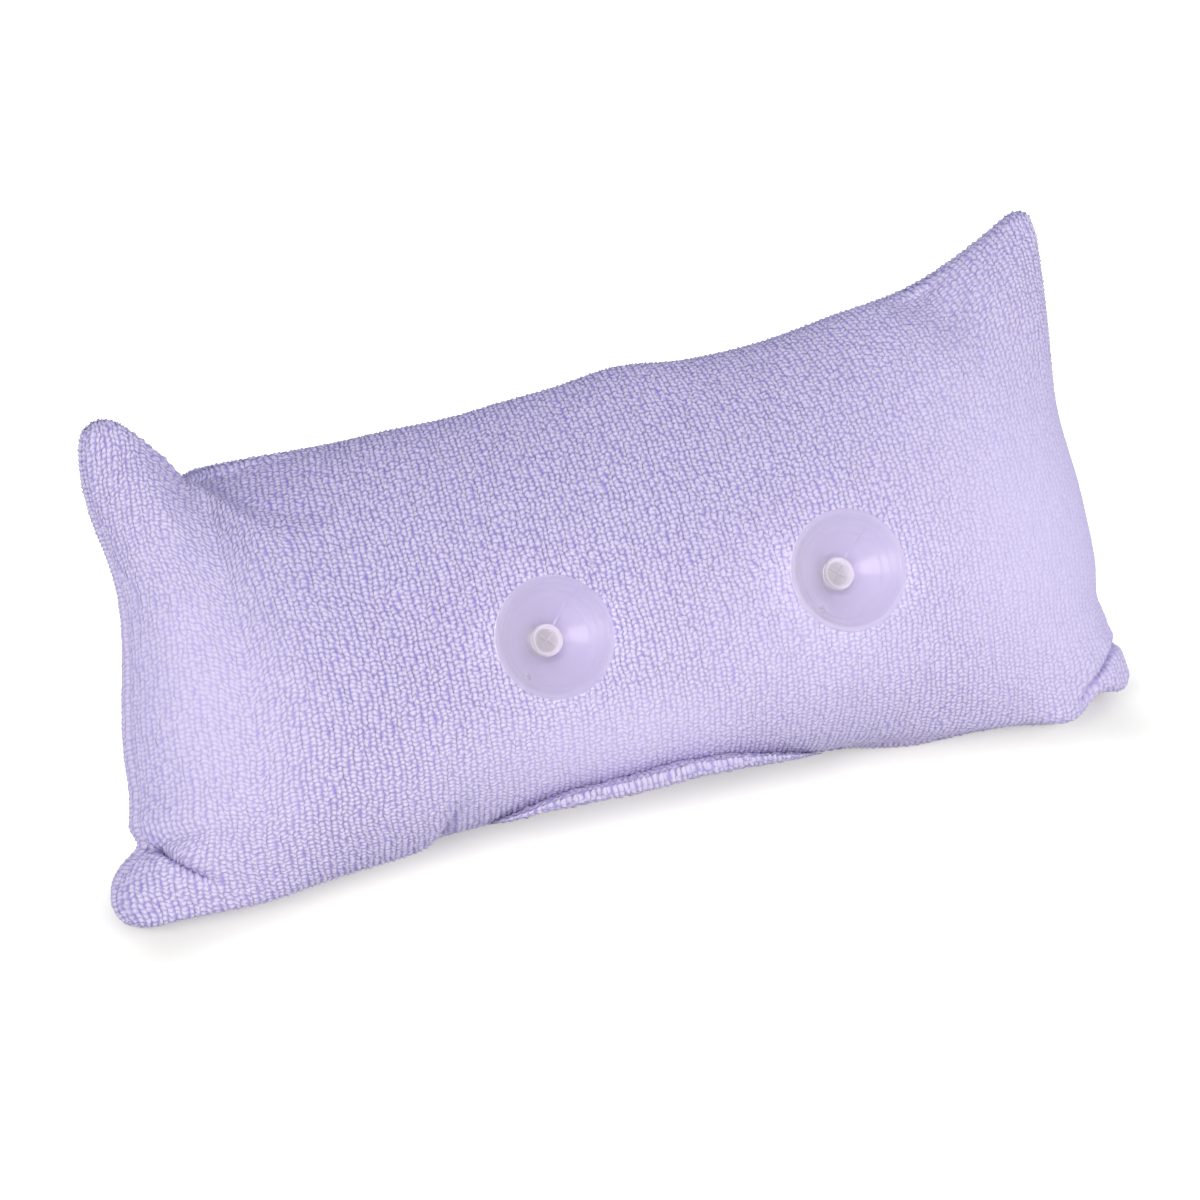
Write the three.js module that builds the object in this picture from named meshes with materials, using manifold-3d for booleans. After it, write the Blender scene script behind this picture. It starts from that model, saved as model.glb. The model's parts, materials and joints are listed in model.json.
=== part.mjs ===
// Bath pillow: a stuffed terry cushion that leans back on its settled lower side, with two clear suction
// cups buttoned through the terry. Millimetres, +X along the pillow, the cups face -Y, +Z up from the
// surface that it stands on. The origin is the middle of the bounding box's bottom.
import * as THREE from 'three';
import { mergeVertices } from 'three/addons/utils/BufferGeometryUtils.js';
import Module from 'manifold-3d';

const wasm = await Module();
wasm.setup();

// Cover, measured on the seam that joins its two panels
const SEAM_LENGTH = 326;
const SEAM_HEIGHT = 133;
const REAR_CROWN = 40;
const FRONT_CROWN = 46;
const TERRY_THICKNESS = 3;
const RIM_THICKNESS = 2.5;
const FIT_GAP = 0.3;

// The swell: how far the fill has sunk on each side, and how square the crown runs out to the ends
const REAR_SETTLE = 0.3;
const FRONT_SETTLE = 0.4;
const END_SQUARENESS = 3.2;

// Stance: the seam leans back, its lower edge is just clear of the surface, and low ears bend forward
const LEAN = THREE.MathUtils.degToRad(33);
const SEAM_CLEARANCE = 5.7;
const EAR_BEND_HEIGHT = 3.5;

// Corner ears that stand out past the drawn-in seams. Each has its end and edge of the pillow, its tip's
// way out along the pillow, up or down, and forward, and its reach along the long seam and the end seam.
const EARS = [
  { end: -1, edge: -1, out: 24, rise: 11.5, forward: 0, reachLong: 160, reachEnd: 95 },
  { end: 1, edge: -1, out: 5.5, rise: 8, forward: 0, reachLong: 150, reachEnd: 36 },
  { end: -1, edge: 1, out: 4, rise: 27, forward: 6, reachLong: 40, reachEnd: 48 },
  { end: 1, edge: 1, out: 8.5, rise: 28, forward: 0, reachLong: 105, reachEnd: 56 },
];
const EAR_BLUNTNESS = 4.5;
const TIP_SHARPNESS = 40;
const INNER_EAR_SHARE = 0.4;

// Sway of the top seam, back between the left ear and the crown: its place along the pillow, its way back,
// its half width, its reach below the seam, and how far the filling stays clear of it
const SWAY_PLACE = -116;
const SWAY_BACK = 13.2;
const SWAY_WIDTH = 21;
const SWAY_REACH = 70;
const SWAY_CLEARANCE = 3;

// Suction cups, their buttonholes and what holds them inside the cover
const CUP_SPACING = 101;
const CUP_OFFSET = 10.5;
const CUP_HEIGHT = 56;
const CUP_DIAMETER = 40;
const CUP_DEPTH = 9;
const CUP_WALL = 1.5;
const FLOOR_THICKNESS = 3;
const LIP_WIDTH = 1.6;
const LIP_THICKNESS = 0.8;
const FLOOR_DIAMETER = 10.4;
const STEP_DIAMETER = 26;
const STEP_HEIGHT = 0.5;
const NECK_DIAMETER = 8;
const CUP_STANDOFF = 3.2;
const HEAD_DIAMETER = 12;
const HEAD_HEIGHT = 4.2;
const HEAD_EDGE = 1;
const WASHER_DIAMETER = 16;
const WASHER_THICKNESS = 1.5;
const PATCH_DIAMETER = 30;
const PATCH_THICKNESS = 1;
const STITCH_RING_WIDTH = 1.6;
const STITCH_RING_HEIGHT = 1.2;
const STITCH_ROUNDING = 0.4;
const ROCK_LIMIT = THREE.MathUtils.degToRad(8);

// Sewing threads
const THREAD_DIAMETER = 1.2;
const SEAM_ALLOWANCE = 5;
const CLOSING_LENGTH = 120;
const CLOSING_OFFSET = 8;
const CLOSING_STITCH = 6;

// Fineness of the faceted surfaces
const COLUMNS = 22;
const ROWS = 12;
const END_CROWDING = 0.9;
const EDGE_CROWDING = 1;
const ROUND_SEGMENTS = 32;
const THREAD_SIDES = 6;
const DOME_STEPS = 4;
const SEAM_STEPS_PER_POINT = 1.5;
const CUT_OVERLAP = 5;
const SEAT_STEP = 0.02;
const SEAT_TRIES = 40;

// Colours and finishes
const terry = { color: 0xcdc3ea, roughness: 1, metalness: 0 };
const thread = { color: 0xc2b5e2, roughness: 0.8, metalness: 0 };
const clearVinyl = { color: 0xe4dff0, roughness: 0.12, metalness: 0, transparent: true, opacity: 0.4 };
const whitePlastic = { color: 0xf1f0ee, roughness: 0.45, metalness: 0 };
const interfacing = { color: 0xebe8f1, roughness: 0.9, metalness: 0 };
const polyester = { color: 0xf6f5f3, roughness: 1, metalness: 0 };

// Layers of the stuffed body: inset of the outline from the seam, depth under the terry, share of the ears,
// and clearance at the sway
const outside = { inset: 0, depth: 0, earShare: 1, clearance: 0 };
const lining = { ...outside, inset: TERRY_THICKNESS, depth: TERRY_THICKNESS, earShare: INNER_EAR_SHARE };
const seamLine = { ...lining, inset: TERRY_THICKNESS + 2 * FIT_GAP + THREAD_DIAMETER / 2 };
const patchFace = { ...lining, depth: TERRY_THICKNESS + FIT_GAP };
const patchBack = { ...patchFace, depth: patchFace.depth + PATCH_THICKNESS };
const stuffing = { ...patchFace, inset: TERRY_THICKNESS + SEAM_ALLOWANCE, clearance: SWAY_CLEARANCE };

// Pillow coordinates: along the pillow, up its seam plane, and out toward the cups
function standUp(along, up, out) {
  return new THREE.Vector3(
    along,
    up * Math.sin(LEAN) - out * Math.cos(LEAN),
    SEAM_CLEARANCE + up * Math.cos(LEAN) + out * Math.sin(LEAN),
  );
}

function flare(distance, reach) {
  return Math.max(0, 1 - distance / reach) ** 2;
}

// Share of the sway at a place on a layer's seam surface
function sway(layer, p, q) {
  const fromPlace = (SEAM_LENGTH / 2 - layer.inset) * p - SWAY_PLACE;
  const belowTop = SEAM_HEIGHT / 2 - (SEAM_HEIGHT / 2 - layer.inset) * q;
  return Math.exp(-((fromPlace / SWAY_WIDTH) ** 2)) * flare(belowTop, SWAY_REACH);
}

// A layer's seam surface in pillow coordinates. p runs along the pillow and q up it, each from -1 to 1, and
// the ears fade out from the corners inward.
function seamSurface(layer, p, q) {
  const halfLength = SEAM_LENGTH / 2 - layer.inset;
  const halfHeight = SEAM_HEIGHT / 2 - layer.inset;
  const back = SWAY_BACK * sway(layer, p, q);
  const point = new THREE.Vector3(halfLength * p, SEAM_HEIGHT / 2 + halfHeight * q, -back);
  for (const ear of EARS) {
    const alongSeam = flare(halfLength * Math.abs(p - ear.end), ear.reachLong);
    const alongEnd = flare(halfHeight * Math.abs(q - ear.edge), ear.reachEnd);
    const share = layer.earShare * alongSeam * alongEnd;
    point.x += ear.end * ear.out * share;
    point.y += ear.edge * ear.rise * share;
    point.z += ear.forward * share;
  }
  const blunt = layer.earShare * EAR_BLUNTNESS * Math.abs(p * q) ** TIP_SHARPNESS;
  point.x -= Math.sign(p) * blunt;
  point.y -= Math.sign(q) * blunt;
  const height = standUp(point.x, point.y, point.z).z;
  point.z += Math.max(0, EAR_BEND_HEIGHT - height) / Math.sin(LEAN);
  return point;
}

function swell(p, q, settle) {
  const sunk = q + settle * (1 - q * q);
  const alongPillow = Math.sqrt(Math.max(0, 1 - Math.abs(p) ** END_SQUARENESS));
  return alongPillow * Math.sqrt(Math.max(0, 1 - sunk * sunk));
}

// A point of a layer that stands out from the seam surface, pressed flat where it meets the surface below
function layerPoint(layer, p, q, out) {
  const seam = seamSurface(layer, p, q);
  const point = standUp(seam.x, seam.y, seam.z + out);
  point.z = Math.max(point.z, layer.depth);
  return point;
}

function rearFace(layer) {
  const crown = REAR_CROWN - layer.depth;
  return (p, q) => {
    const clear = layer.clearance * sway(layer, p, q);
    return layerPoint(layer, p, q, RIM_THICKNESS + crown * swell(p, q, REAR_SETTLE) - clear);
  };
}

function frontFace(layer) {
  const crown = FRONT_CROWN - layer.depth;
  return (p, q) => {
    const clear = layer.clearance * sway(layer, p, q);
    return layerPoint(layer, p, q, clear - RIM_THICKNESS - crown * swell(p, q, FRONT_SETTLE));
  };
}

function seamFace(layer, out) {
  return (p, q) => layerPoint(layer, p, q, out);
}

function stations(count, crowding) {
  const limit = crowding * Math.PI / 2;
  const angles = Array.from({ length: count + 1 }, (_, i) => limit * (2 * i / count - 1));
  return angles.map((angle) => Math.sin(angle) / Math.sin(limit));
}

// A closed body between two faces over the same outline, the upper one toward the cups
function bodyBetween(upper, lower) {
  const columns = stations(COLUMNS, END_CROWDING);
  const rows = stations(ROWS, EDGE_CROWDING);
  const positions = [];
  for (const face of [upper, lower]) {
    for (const p of columns) {
      for (const q of rows) {
        positions.push(...face(p, q).toArray());
      }
    }
  }
  const under = columns.length * rows.length;
  const at = (i, j) => i * rows.length + j;
  const indices = [];
  const quad = (a, b, c, d) => indices.push(a, b, c, a, c, d);
  for (let i = 0; i < COLUMNS; i += 1) {
    for (let j = 0; j < ROWS; j += 1) {
      const [a, b, c, d] = [at(i, j), at(i + 1, j), at(i + 1, j + 1), at(i, j + 1)];
      quad(a, b, c, d);
      quad(a + under, d + under, c + under, b + under);
    }
  }
  const wall = (a, b) => quad(a + under, b + under, b, a);
  for (let i = 0; i < COLUMNS; i += 1) {
    wall(at(i, 0), at(i + 1, 0));
    wall(at(i + 1, ROWS), at(i, ROWS));
  }
  for (let j = 0; j < ROWS; j += 1) {
    wall(at(COLUMNS, j), at(COLUMNS, j + 1));
    wall(at(0, j + 1), at(0, j));
  }
  const geometry = new THREE.BufferGeometry();
  geometry.setAttribute('position', new THREE.Float32BufferAttribute(positions, 3));
  geometry.setIndex(indices);
  return geometry;
}

function solidOf(geometry) {
  const bare = geometry.clone();
  bare.deleteAttribute('normal');
  bare.deleteAttribute('uv');
  const merged = mergeVertices(bare);
  const vertProperties = new Float32Array(merged.attributes.position.array);
  const triVerts = new Uint32Array(merged.index.array);
  return new wasm.Manifold(new wasm.Mesh({ numProp: 3, vertProperties, triVerts }));
}

function geometryOf(solid) {
  const mesh = solid.getMesh();
  const geometry = new THREE.BufferGeometry();
  geometry.setAttribute('position', new THREE.BufferAttribute(new Float32Array(mesh.vertProperties), 3));
  geometry.setIndex(new THREE.BufferAttribute(new Uint32Array(mesh.triVerts), 1));
  geometry.computeVertexNormals();
  return geometry;
}

function named(name, geometry, finish) {
  const mesh = new THREE.Mesh(geometry, new THREE.MeshStandardMaterial(finish));
  mesh.name = name;
  return mesh;
}

// Seats of the two cups on the rear panel: the place, the way straight out and how the panel falls away
const CUP_SIDES = [
  { name: 'left', along: CUP_OFFSET - CUP_SPACING / 2 },
  { name: 'right', along: CUP_OFFSET + CUP_SPACING / 2 },
];

function cupSeat(along) {
  let p = 0;
  let q = 0;
  for (let i = 0; i < SEAT_TRIES; i += 1) {
    const seam = seamSurface(outside, p, q);
    p += (along - seam.x) / (SEAM_LENGTH / 2);
    q += (CUP_HEIGHT - seam.y) / (SEAM_HEIGHT / 2);
  }
  const face = rearFace(outside);
  const place = face(p, q);
  const alongStep = face(p + SEAT_STEP, q).sub(face(p - SEAT_STEP, q));
  const upStep = face(p, q + SEAT_STEP).sub(face(p, q - SEAT_STEP));
  const outward = alongStep.cross(upStep).normalize();
  const step = face(p, q + SEAT_STEP).sub(place);
  const bend = -2 * step.dot(outward) / step.lengthSq();
  const seat = new THREE.Object3D();
  seat.position.copy(place);
  seat.quaternion.setFromUnitVectors(new THREE.Vector3(0, 1, 0), outward);
  seat.updateMatrix();
  return { matrix: seat.matrix, fallAt: (radius) => bend * radius * radius / 2 };
}

const seats = CUP_SIDES.map((side) => cupSeat(side.along));

// Heights along a cup's stem from the terry's face, positive outward, and the clearance for its rocking
const neckRadius = NECK_DIAMETER / 2;
const rockPivot = -TERRY_THICKNESS / 2;
const ringTop = FIT_GAP + STITCH_RING_HEIGHT;
const ringBore = neckRadius / Math.cos(ROCK_LIMIT) + (ringTop - rockPivot) * Math.tan(ROCK_LIMIT) + FIT_GAP;
const buttonholeRadius = ringBore + FIT_GAP;
const patchUnderside = -patchBack.depth;
const washerRadius = WASHER_DIAMETER / 2;
const washerFall = Math.max(...seats.map((seat) => seat.fallAt(washerRadius)));
const washerDrop = washerFall + washerRadius * Math.sin(ROCK_LIMIT) + 2 * FIT_GAP;
const washerTop = patchUnderside - washerDrop;
const headTop = washerTop - WASHER_THICKNESS - FIT_GAP;
const headBottom = headTop - HEAD_HEIGHT;
const pocketRadius = PATCH_DIAMETER / 2 + FIT_GAP;
const pocketFloor = headBottom - 2 * FIT_GAP;

// A round plug along a cup's stem between two heights, in the pillow's place
function stemPlug(seat, radius, low, high) {
  const plug = new THREE.CylinderGeometry(radius, radius, high - low, ROUND_SEGMENTS);
  plug.translate(0, (low + high) / 2, 0);
  return solidOf(plug.applyMatrix4(seat.matrix));
}

// Cover panels: terry shells that meet at the seam. The rear one has the two buttonholes.
function rearCoverPanel() {
  const shell = solidOf(bodyBetween(rearFace(outside), seamFace(outside, FIT_GAP / 2)));
  let panel = shell.subtract(solidOf(bodyBetween(rearFace(lining), seamFace(lining, -CUT_OVERLAP))));
  for (const seat of seats) {
    panel = panel.subtract(stemPlug(seat, buttonholeRadius, patchUnderside - CUT_OVERLAP, CUT_OVERLAP));
  }
  return named('rear_cover_panel', geometryOf(panel), terry);
}

function frontCoverPanel() {
  const shell = solidOf(bodyBetween(seamFace(outside, -FIT_GAP / 2), frontFace(outside)));
  const hollow = solidOf(bodyBetween(seamFace(lining, CUT_OVERLAP), frontFace(lining)));
  return named('front_cover_panel', geometryOf(shell.subtract(hollow)), terry);
}

// Fibre filling, parted in a pocket round the inner end of each cup
function fibreFilling() {
  let filling = solidOf(bodyBetween(rearFace(stuffing), frontFace(stuffing)));
  for (const seat of seats) {
    filling = filling.subtract(stemPlug(seat, pocketRadius, pocketFloor, CUT_OVERLAP));
  }
  return named('fibre_filling', geometryOf(filling), polyester);
}

// A thread as an even tube along a curve
function threadAlong(curve, steps) {
  const section = new THREE.Shape();
  section.absarc(0, 0, THREAD_DIAMETER / 2, 0, 2 * Math.PI, false);
  return new THREE.ExtrudeGeometry(section, {
    curveSegments: THREAD_SIDES / 2,
    steps,
    bevelEnabled: false,
    extrudePath: curve,
  });
}

// Seam thread inside the cover, from one end of the stuffing opening round to the other
function seamThread() {
  const halfLength = SEAM_LENGTH / 2 - seamLine.inset;
  const opening = [-1, 1].map((end) => (CLOSING_OFFSET + end * CLOSING_LENGTH / 2) / halfLength);
  const columns = stations(COLUMNS, END_CROWDING);
  const rows = stations(ROWS, EDGE_CROWDING).slice(1, -1);
  const onSeam = (p, q) => {
    const seam = seamSurface(seamLine, p, q);
    return standUp(seam.x, seam.y, seam.z);
  };
  const points = [
    onSeam(opening[1], -1),
    ...columns.filter((p) => p > opening[1]).map((p) => onSeam(p, -1)),
    ...rows.map((q) => onSeam(1, q)),
    ...columns.toReversed().map((p) => onSeam(p, 1)),
    ...rows.toReversed().map((q) => onSeam(-1, q)),
    ...columns.filter((p) => p < opening[0]).map((p) => onSeam(p, -1)),
    onSeam(opening[0], -1),
  ];
  const path = new THREE.CatmullRomCurve3(points);
  return named('seam_thread', threadAlong(path, Math.round(SEAM_STEPS_PER_POINT * points.length)), thread);
}

// Closing thread, whipped over the edge of the stuffing opening after the pillow is filled
function closingThread() {
  const stitches = Math.round(CLOSING_LENGTH / CLOSING_STITCH);
  const below = FIT_GAP + THREAD_DIAMETER / 2;
  const points = Array.from({ length: stitches + 1 }, (_, i) => {
    const along = CLOSING_OFFSET + CLOSING_LENGTH * (i / stitches - 1 / 2);
    const seam = seamSurface(outside, along / (SEAM_LENGTH / 2), -1);
    const out = (i % 2 === 0 ? 1 : -1) * RIM_THICKNESS / 2;
    return standUp(along, seam.y - below, seam.z + out);
  });
  return named('closing_thread', threadAlong(new THREE.CatmullRomCurve3(points), 2 * stitches), thread);
}

// Reinforcing patch of a buttonhole: a disc of interfacing that follows the inside of the rear panel
function buttonholePatch(side, seat) {
  const layer = solidOf(bodyBetween(rearFace(patchFace), seamFace(patchFace, 0)));
  const behind = solidOf(bodyBetween(rearFace(patchBack), seamFace(patchBack, -CUT_OVERLAP)));
  const disc = stemPlug(seat, PATCH_DIAMETER / 2, headBottom, CUT_OVERLAP);
  const hole = stemPlug(seat, buttonholeRadius, headBottom - CUT_OVERLAP, 2 * CUT_OVERLAP);
  const patch = layer.subtract(behind).intersect(disc).subtract(hole);
  return named(`${side.name}_buttonhole_patch`, geometryOf(patch), interfacing);
}

function turned(name, profile, finish) {
  const outline = profile.map(([radius, height]) => new THREE.Vector2(radius, height));
  return named(name, new THREE.LatheGeometry(outline, ROUND_SEGMENTS), finish);
}

// Overcast stitching round a buttonhole, a low ring on the face of the terry
function buttonholeStitching(side) {
  const outer = ringBore + STITCH_RING_WIDTH;
  const profile = [
    [ringBore, FIT_GAP],
    [outer, FIT_GAP],
    [outer, ringTop - STITCH_ROUNDING],
    [outer - STITCH_ROUNDING, ringTop],
    [ringBore + STITCH_ROUNDING, ringTop],
    [ringBore, ringTop - STITCH_ROUNDING],
    [ringBore, FIT_GAP],
  ];
  return turned(`${side.name}_buttonhole_stitching`, profile, thread);
}

// Retaining washer inside the cover, loose on the neck of the cup
function cupWasher(side) {
  const bore = neckRadius + FIT_GAP;
  const underside = washerTop - WASHER_THICKNESS;
  const profile = [
    [bore, underside],
    [washerRadius, underside],
    [washerRadius, washerTop],
    [bore, washerTop],
    [bore, underside],
  ];
  return turned(`${side.name}_cup_washer`, profile, whitePlastic);
}

// Suction cup of one moulding: mushroom head, neck, and a flared cup with a flat lip
function suctionCup(side) {
  const headRadius = HEAD_DIAMETER / 2;
  const rimRadius = CUP_DIAMETER / 2;
  const floorRadius = FLOOR_DIAMETER / 2;
  const stepRadius = STEP_DIAMETER / 2;
  const innerRim = rimRadius - LIP_WIDTH;
  const floorHeight = CUP_STANDOFF + FLOOR_THICKNESS;
  const rimHeight = floorHeight + CUP_DEPTH;
  const slope = CUP_DEPTH / (innerRim - floorRadius);
  const insideAt = (radius) => floorHeight + slope * (radius - floorRadius);
  const backRise = CUP_WALL * Math.hypot(1, slope);
  const dome = Array.from({ length: DOME_STEPS + 1 }, (_, i) => {
    const angle = i / DOME_STEPS * Math.PI / 2;
    return [headRadius * Math.sin(angle), headTop - HEAD_EDGE - (HEAD_HEIGHT - HEAD_EDGE) * Math.cos(angle)];
  });
  const profile = [
    ...dome,
    [headRadius, headTop],
    [neckRadius, headTop],
    [neckRadius, CUP_STANDOFF],
    [floorRadius, insideAt(floorRadius) - backRise],
    [stepRadius, insideAt(stepRadius) - backRise],
    [rimRadius, rimHeight - LIP_THICKNESS],
    [rimRadius, rimHeight],
    [innerRim, rimHeight],
    [stepRadius, insideAt(stepRadius)],
    [stepRadius - STEP_HEIGHT, insideAt(stepRadius) - STEP_HEIGHT],
    [floorRadius, floorHeight],
    [0, floorHeight],
  ];
  return turned(`${side.name}_suction_cup`, profile, clearVinyl);
}

const pillow = new THREE.Group();
pillow.add(rearCoverPanel(), frontCoverPanel(), fibreFilling(), seamThread(), closingThread());
CUP_SIDES.forEach((side, i) => {
  pillow.add(buttonholePatch(side, seats[i]));
  const fitting = new THREE.Group();
  fitting.applyMatrix4(seats[i].matrix);
  fitting.add(buttonholeStitching(side), cupWasher(side), suctionCup(side));
  pillow.add(fitting);
});

// Stand the pillow with the middle of its bounding box's bottom on the origin
const box = new THREE.Box3().setFromObject(pillow, true);
const middle = box.getCenter(new THREE.Vector3());
pillow.position.set(-middle.x, -middle.y, -box.min.z);

export default pillow;
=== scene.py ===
import json
import math

import bpy
import numpy as np
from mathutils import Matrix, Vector


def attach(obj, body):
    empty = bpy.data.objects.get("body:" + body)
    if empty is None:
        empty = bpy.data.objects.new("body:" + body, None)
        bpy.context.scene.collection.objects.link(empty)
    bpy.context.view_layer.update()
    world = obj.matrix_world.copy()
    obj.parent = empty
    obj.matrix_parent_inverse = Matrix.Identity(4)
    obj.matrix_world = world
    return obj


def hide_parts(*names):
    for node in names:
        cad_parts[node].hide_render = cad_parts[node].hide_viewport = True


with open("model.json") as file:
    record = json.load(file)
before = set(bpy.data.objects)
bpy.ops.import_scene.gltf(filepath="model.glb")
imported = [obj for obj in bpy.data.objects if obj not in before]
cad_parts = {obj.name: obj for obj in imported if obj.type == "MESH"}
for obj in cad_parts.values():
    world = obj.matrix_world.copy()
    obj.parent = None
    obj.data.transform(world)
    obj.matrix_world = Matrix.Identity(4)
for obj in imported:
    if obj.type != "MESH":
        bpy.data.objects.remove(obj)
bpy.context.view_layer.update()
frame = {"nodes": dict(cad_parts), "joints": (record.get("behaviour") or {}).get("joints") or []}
scene = bpy.context.scene
scene.view_settings.view_transform = "Standard"

# Camera
# It looks from the pillow's left and from above, square to the leaning cover, with a long lens that shows
# almost no perspective. The lens is worked out for a square image, and the scale holds at the point looked
# at.
MM = 0.001
IMAGE_PIXELS = 1200
PIXELS_PER_MM = 3.1
CAMERA_AZIMUTH = math.radians(-22.4)
CAMERA_ELEVATION = math.radians(33.5)
CAMERA_DISTANCE = 4000
LOOK_AT = Vector((1.5, -0.3, 62.4))
SENSOR_WIDTH = 36
FAR_LIMIT = 100


def direction(azimuth, elevation):
    across = math.cos(elevation)
    return Vector((math.sin(azimuth) * across, -math.cos(azimuth) * across, math.sin(elevation)))


toward_camera = direction(CAMERA_AZIMUTH, CAMERA_ELEVATION)
camera = bpy.data.objects.new("camera", bpy.data.cameras.new("camera"))
scene.collection.objects.link(camera)
camera.data.sensor_width = SENSOR_WIDTH
camera.data.lens = SENSOR_WIDTH * CAMERA_DISTANCE * PIXELS_PER_MM / IMAGE_PIXELS
camera.data.clip_end = FAR_LIMIT
camera.location = (LOOK_AT + toward_camera * CAMERA_DISTANCE) * MM
camera.rotation_euler = toward_camera.to_track_quat("Z", "Y").to_euler()
scene.camera = camera

# Stuffed form of the cover
# Two panels of terry, sewn face to face, turned and stuffed. The seam is drawn in between four corner ears
# and sways back beside the left one. The fill has sunk to the lower edge, and the pillow leans back.
SEAM_LENGTH = 326
SEAM_HEIGHT = 133
CROWN = {"rear": 40, "front": 46}
SETTLE = {"rear": 0.3, "front": 0.4}
OUTWARD = {"rear": 1, "front": -1}
RIM_THICKNESS = 2.5
END_SQUARENESS = 3.2
LEAN = math.radians(33)
SEAM_FOOT = (7.52, -29.37, 5.7)
EAR_BEND_HEIGHT = 3.5
BEND_SOFTNESS = 3
EAR_SIZES = ("end", "edge", "out", "rise", "forward", "long", "high", "hollow", "round")
EARS = [dict(zip(EAR_SIZES, sizes)) for sizes in (
    (-1, -1, 24.5, 8, 0, 138, 98, 2, 10),
    (1, -1, 12.5, 6, 0, 150, 30, 2, 14),
    (-1, 1, 8.6, 36.6, 10, 30, 64, 0.75, 17.5),
    (1, 1, 9, 31, 0, 86, 64.5, 2.1, 10),
)]
PLAIN_HOLLOW = 2
EAR_SOFT_REACH = 22
SEAM_ROLL = 1
ROLL_WIDTH = 3
WAVE_REACH = 40
SWAY_REACH = 70
TOP_SWAY = [(-117, -19, 19)]
BELLY_SAG = [(-5, 3.2, 42)]
BELLY_HEIGHT = 9
FINE_POINTS = 1501
SEAM_EVENNESS = 3
SEAM_WAVES = {
    "top": [(-133, -2.5, 7), (-80, -1, 22), (-43, -1.6, 18), (16, 3, 18), (95, 3, 22)],
    "left": [(12, 3, 9), (23, -5.5, 4), (33, -2.4, 12), (60, 1.1, 15), (95, -2.2, 15), (110, 1, 8)],
    "right": [(18, -1.5, 4), (28, -2.8, 9), (65, 0.3, 15), (90, -2.2, 15), (112, -0.3, 15)],
    "bottom": [
        (-125, 2.5, 18), (-95, 1.5, 18), (-65, -1, 18), (-4, -2.2, 32),
        (90, 3, 18), (120, 3, 18), (133, 3.5, 9), (146, -2.6, 6),
    ],
}
half_length = SEAM_LENGTH / 2
half_height = SEAM_HEIGHT / 2


def stand_up(places):
    """Pillow coordinates, along it, up its seam plane and out toward the cups, in the frame's axes."""
    along, up, out = np.moveaxis(places, -1, 0)
    foot_x, foot_y, foot_z = SEAM_FOOT
    depth = up * math.sin(LEAN) - out * math.cos(LEAN)
    height = up * math.cos(LEAN) + out * math.sin(LEAN)
    return np.stack([along + foot_x, depth + foot_y, height + foot_z], -1)


def flare(distance, reach, hollow=PLAIN_HOLLOW):
    return np.clip(1 - distance / reach, 0, None) ** hollow


def waves(bows, place):
    """How far a line bows out at places along it: each bow has its place, height and width."""
    return sum(height * np.exp(-((place - middle) / width) ** 2) for middle, height, width in bows)


def round_corner(p, q, ear):
    """Draws a corner of the panel in to a round, as the corner of the cut is rounded."""
    reach = np.array((half_length, half_height)) / ear["round"]
    x = np.clip(1 - reach[0] * (1 - ear["end"] * p), 0, None)
    y = np.clip(1 - reach[1] * (1 - ear["edge"] * q), 0, None)
    pulled_p = p - ear["end"] * x * (1 - np.sqrt(1 - y * y / 2)) / reach[0]
    pulled_q = q - ear["edge"] * y * (1 - np.sqrt(1 - x * x / 2)) / reach[1]
    return pulled_p, pulled_q


def seam_surface(p, q):
    """The surface that the seam lies in. p runs along the pillow and q up it, each from -1 to 1."""
    for ear in EARS:
        p, q = round_corner(p, q, ear)
    straight_along = half_length * p
    straight_up = half_height * (1 + q)
    from_left, from_right = half_length * (1 + p), half_length * (1 - p)
    from_bottom, from_top = half_height * (1 + q), half_height * (1 - q)
    along = straight_along - waves(SEAM_WAVES["left"], straight_up) * flare(from_left, WAVE_REACH)
    along = along + waves(SEAM_WAVES["right"], straight_up) * flare(from_right, WAVE_REACH)
    up = straight_up - waves(SEAM_WAVES["bottom"], straight_along) * flare(from_bottom, WAVE_REACH)
    up = up + waves(SEAM_WAVES["top"], straight_along) * flare(from_top, WAVE_REACH)
    out = waves(TOP_SWAY, straight_along) * flare(from_top, SWAY_REACH)
    for ear in EARS:
        from_edge = half_height * np.abs(q - ear["edge"])
        hollow = ear["hollow"] + (PLAIN_HOLLOW - ear["hollow"]) * np.minimum(1, from_edge / EAR_SOFT_REACH)
        from_end = half_length * np.abs(p - ear["end"])
        share = flare(from_end, ear["long"], hollow) * flare(from_edge, ear["high"])
        along = along + ear["end"] * ear["out"] * share
        up = up + ear["edge"] * ear["rise"] * share
        out = out + ear["forward"] * share
    height = stand_up(np.stack([along, up, out], -1))[..., 2]
    bend = BEND_SOFTNESS * np.logaddexp(0, (EAR_BEND_HEIGHT - height) / BEND_SOFTNESS)
    return along, up, out + bend / math.sin(LEAN)


def swell(p, q, settle):
    sunk = q + settle * (1 - q * q)
    along_pillow = np.sqrt(np.clip(1 - np.abs(p) ** END_SQUARENESS, 0, None))
    return along_pillow * np.sqrt(np.clip(1 - sunk * sunk, 0, None))


def panel_place(side, p, q, roll_along=0, roll_up=0):
    """A point of a panel in pillow coordinates. The rolls turn its border in to the seam."""
    along, up, out = seam_surface(p, q)
    along = along - np.sign(p) * SEAM_ROLL * roll_along
    up = up - np.sign(q) * SEAM_ROLL * roll_up
    if side == "rear":
        hang = half_height * (1 + q) / BELLY_HEIGHT
        up = up - waves(BELLY_SAG, half_length * p) * (hang * np.exp(1 - hang)) ** 2
    rim = RIM_THICKNESS * (1 - np.maximum(roll_along, roll_up))
    out = out + OUTWARD[side] * (rim + CROWN[side] * swell(p, q, SETTLE[side]))
    return np.stack([along, up, out], -1)


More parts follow.
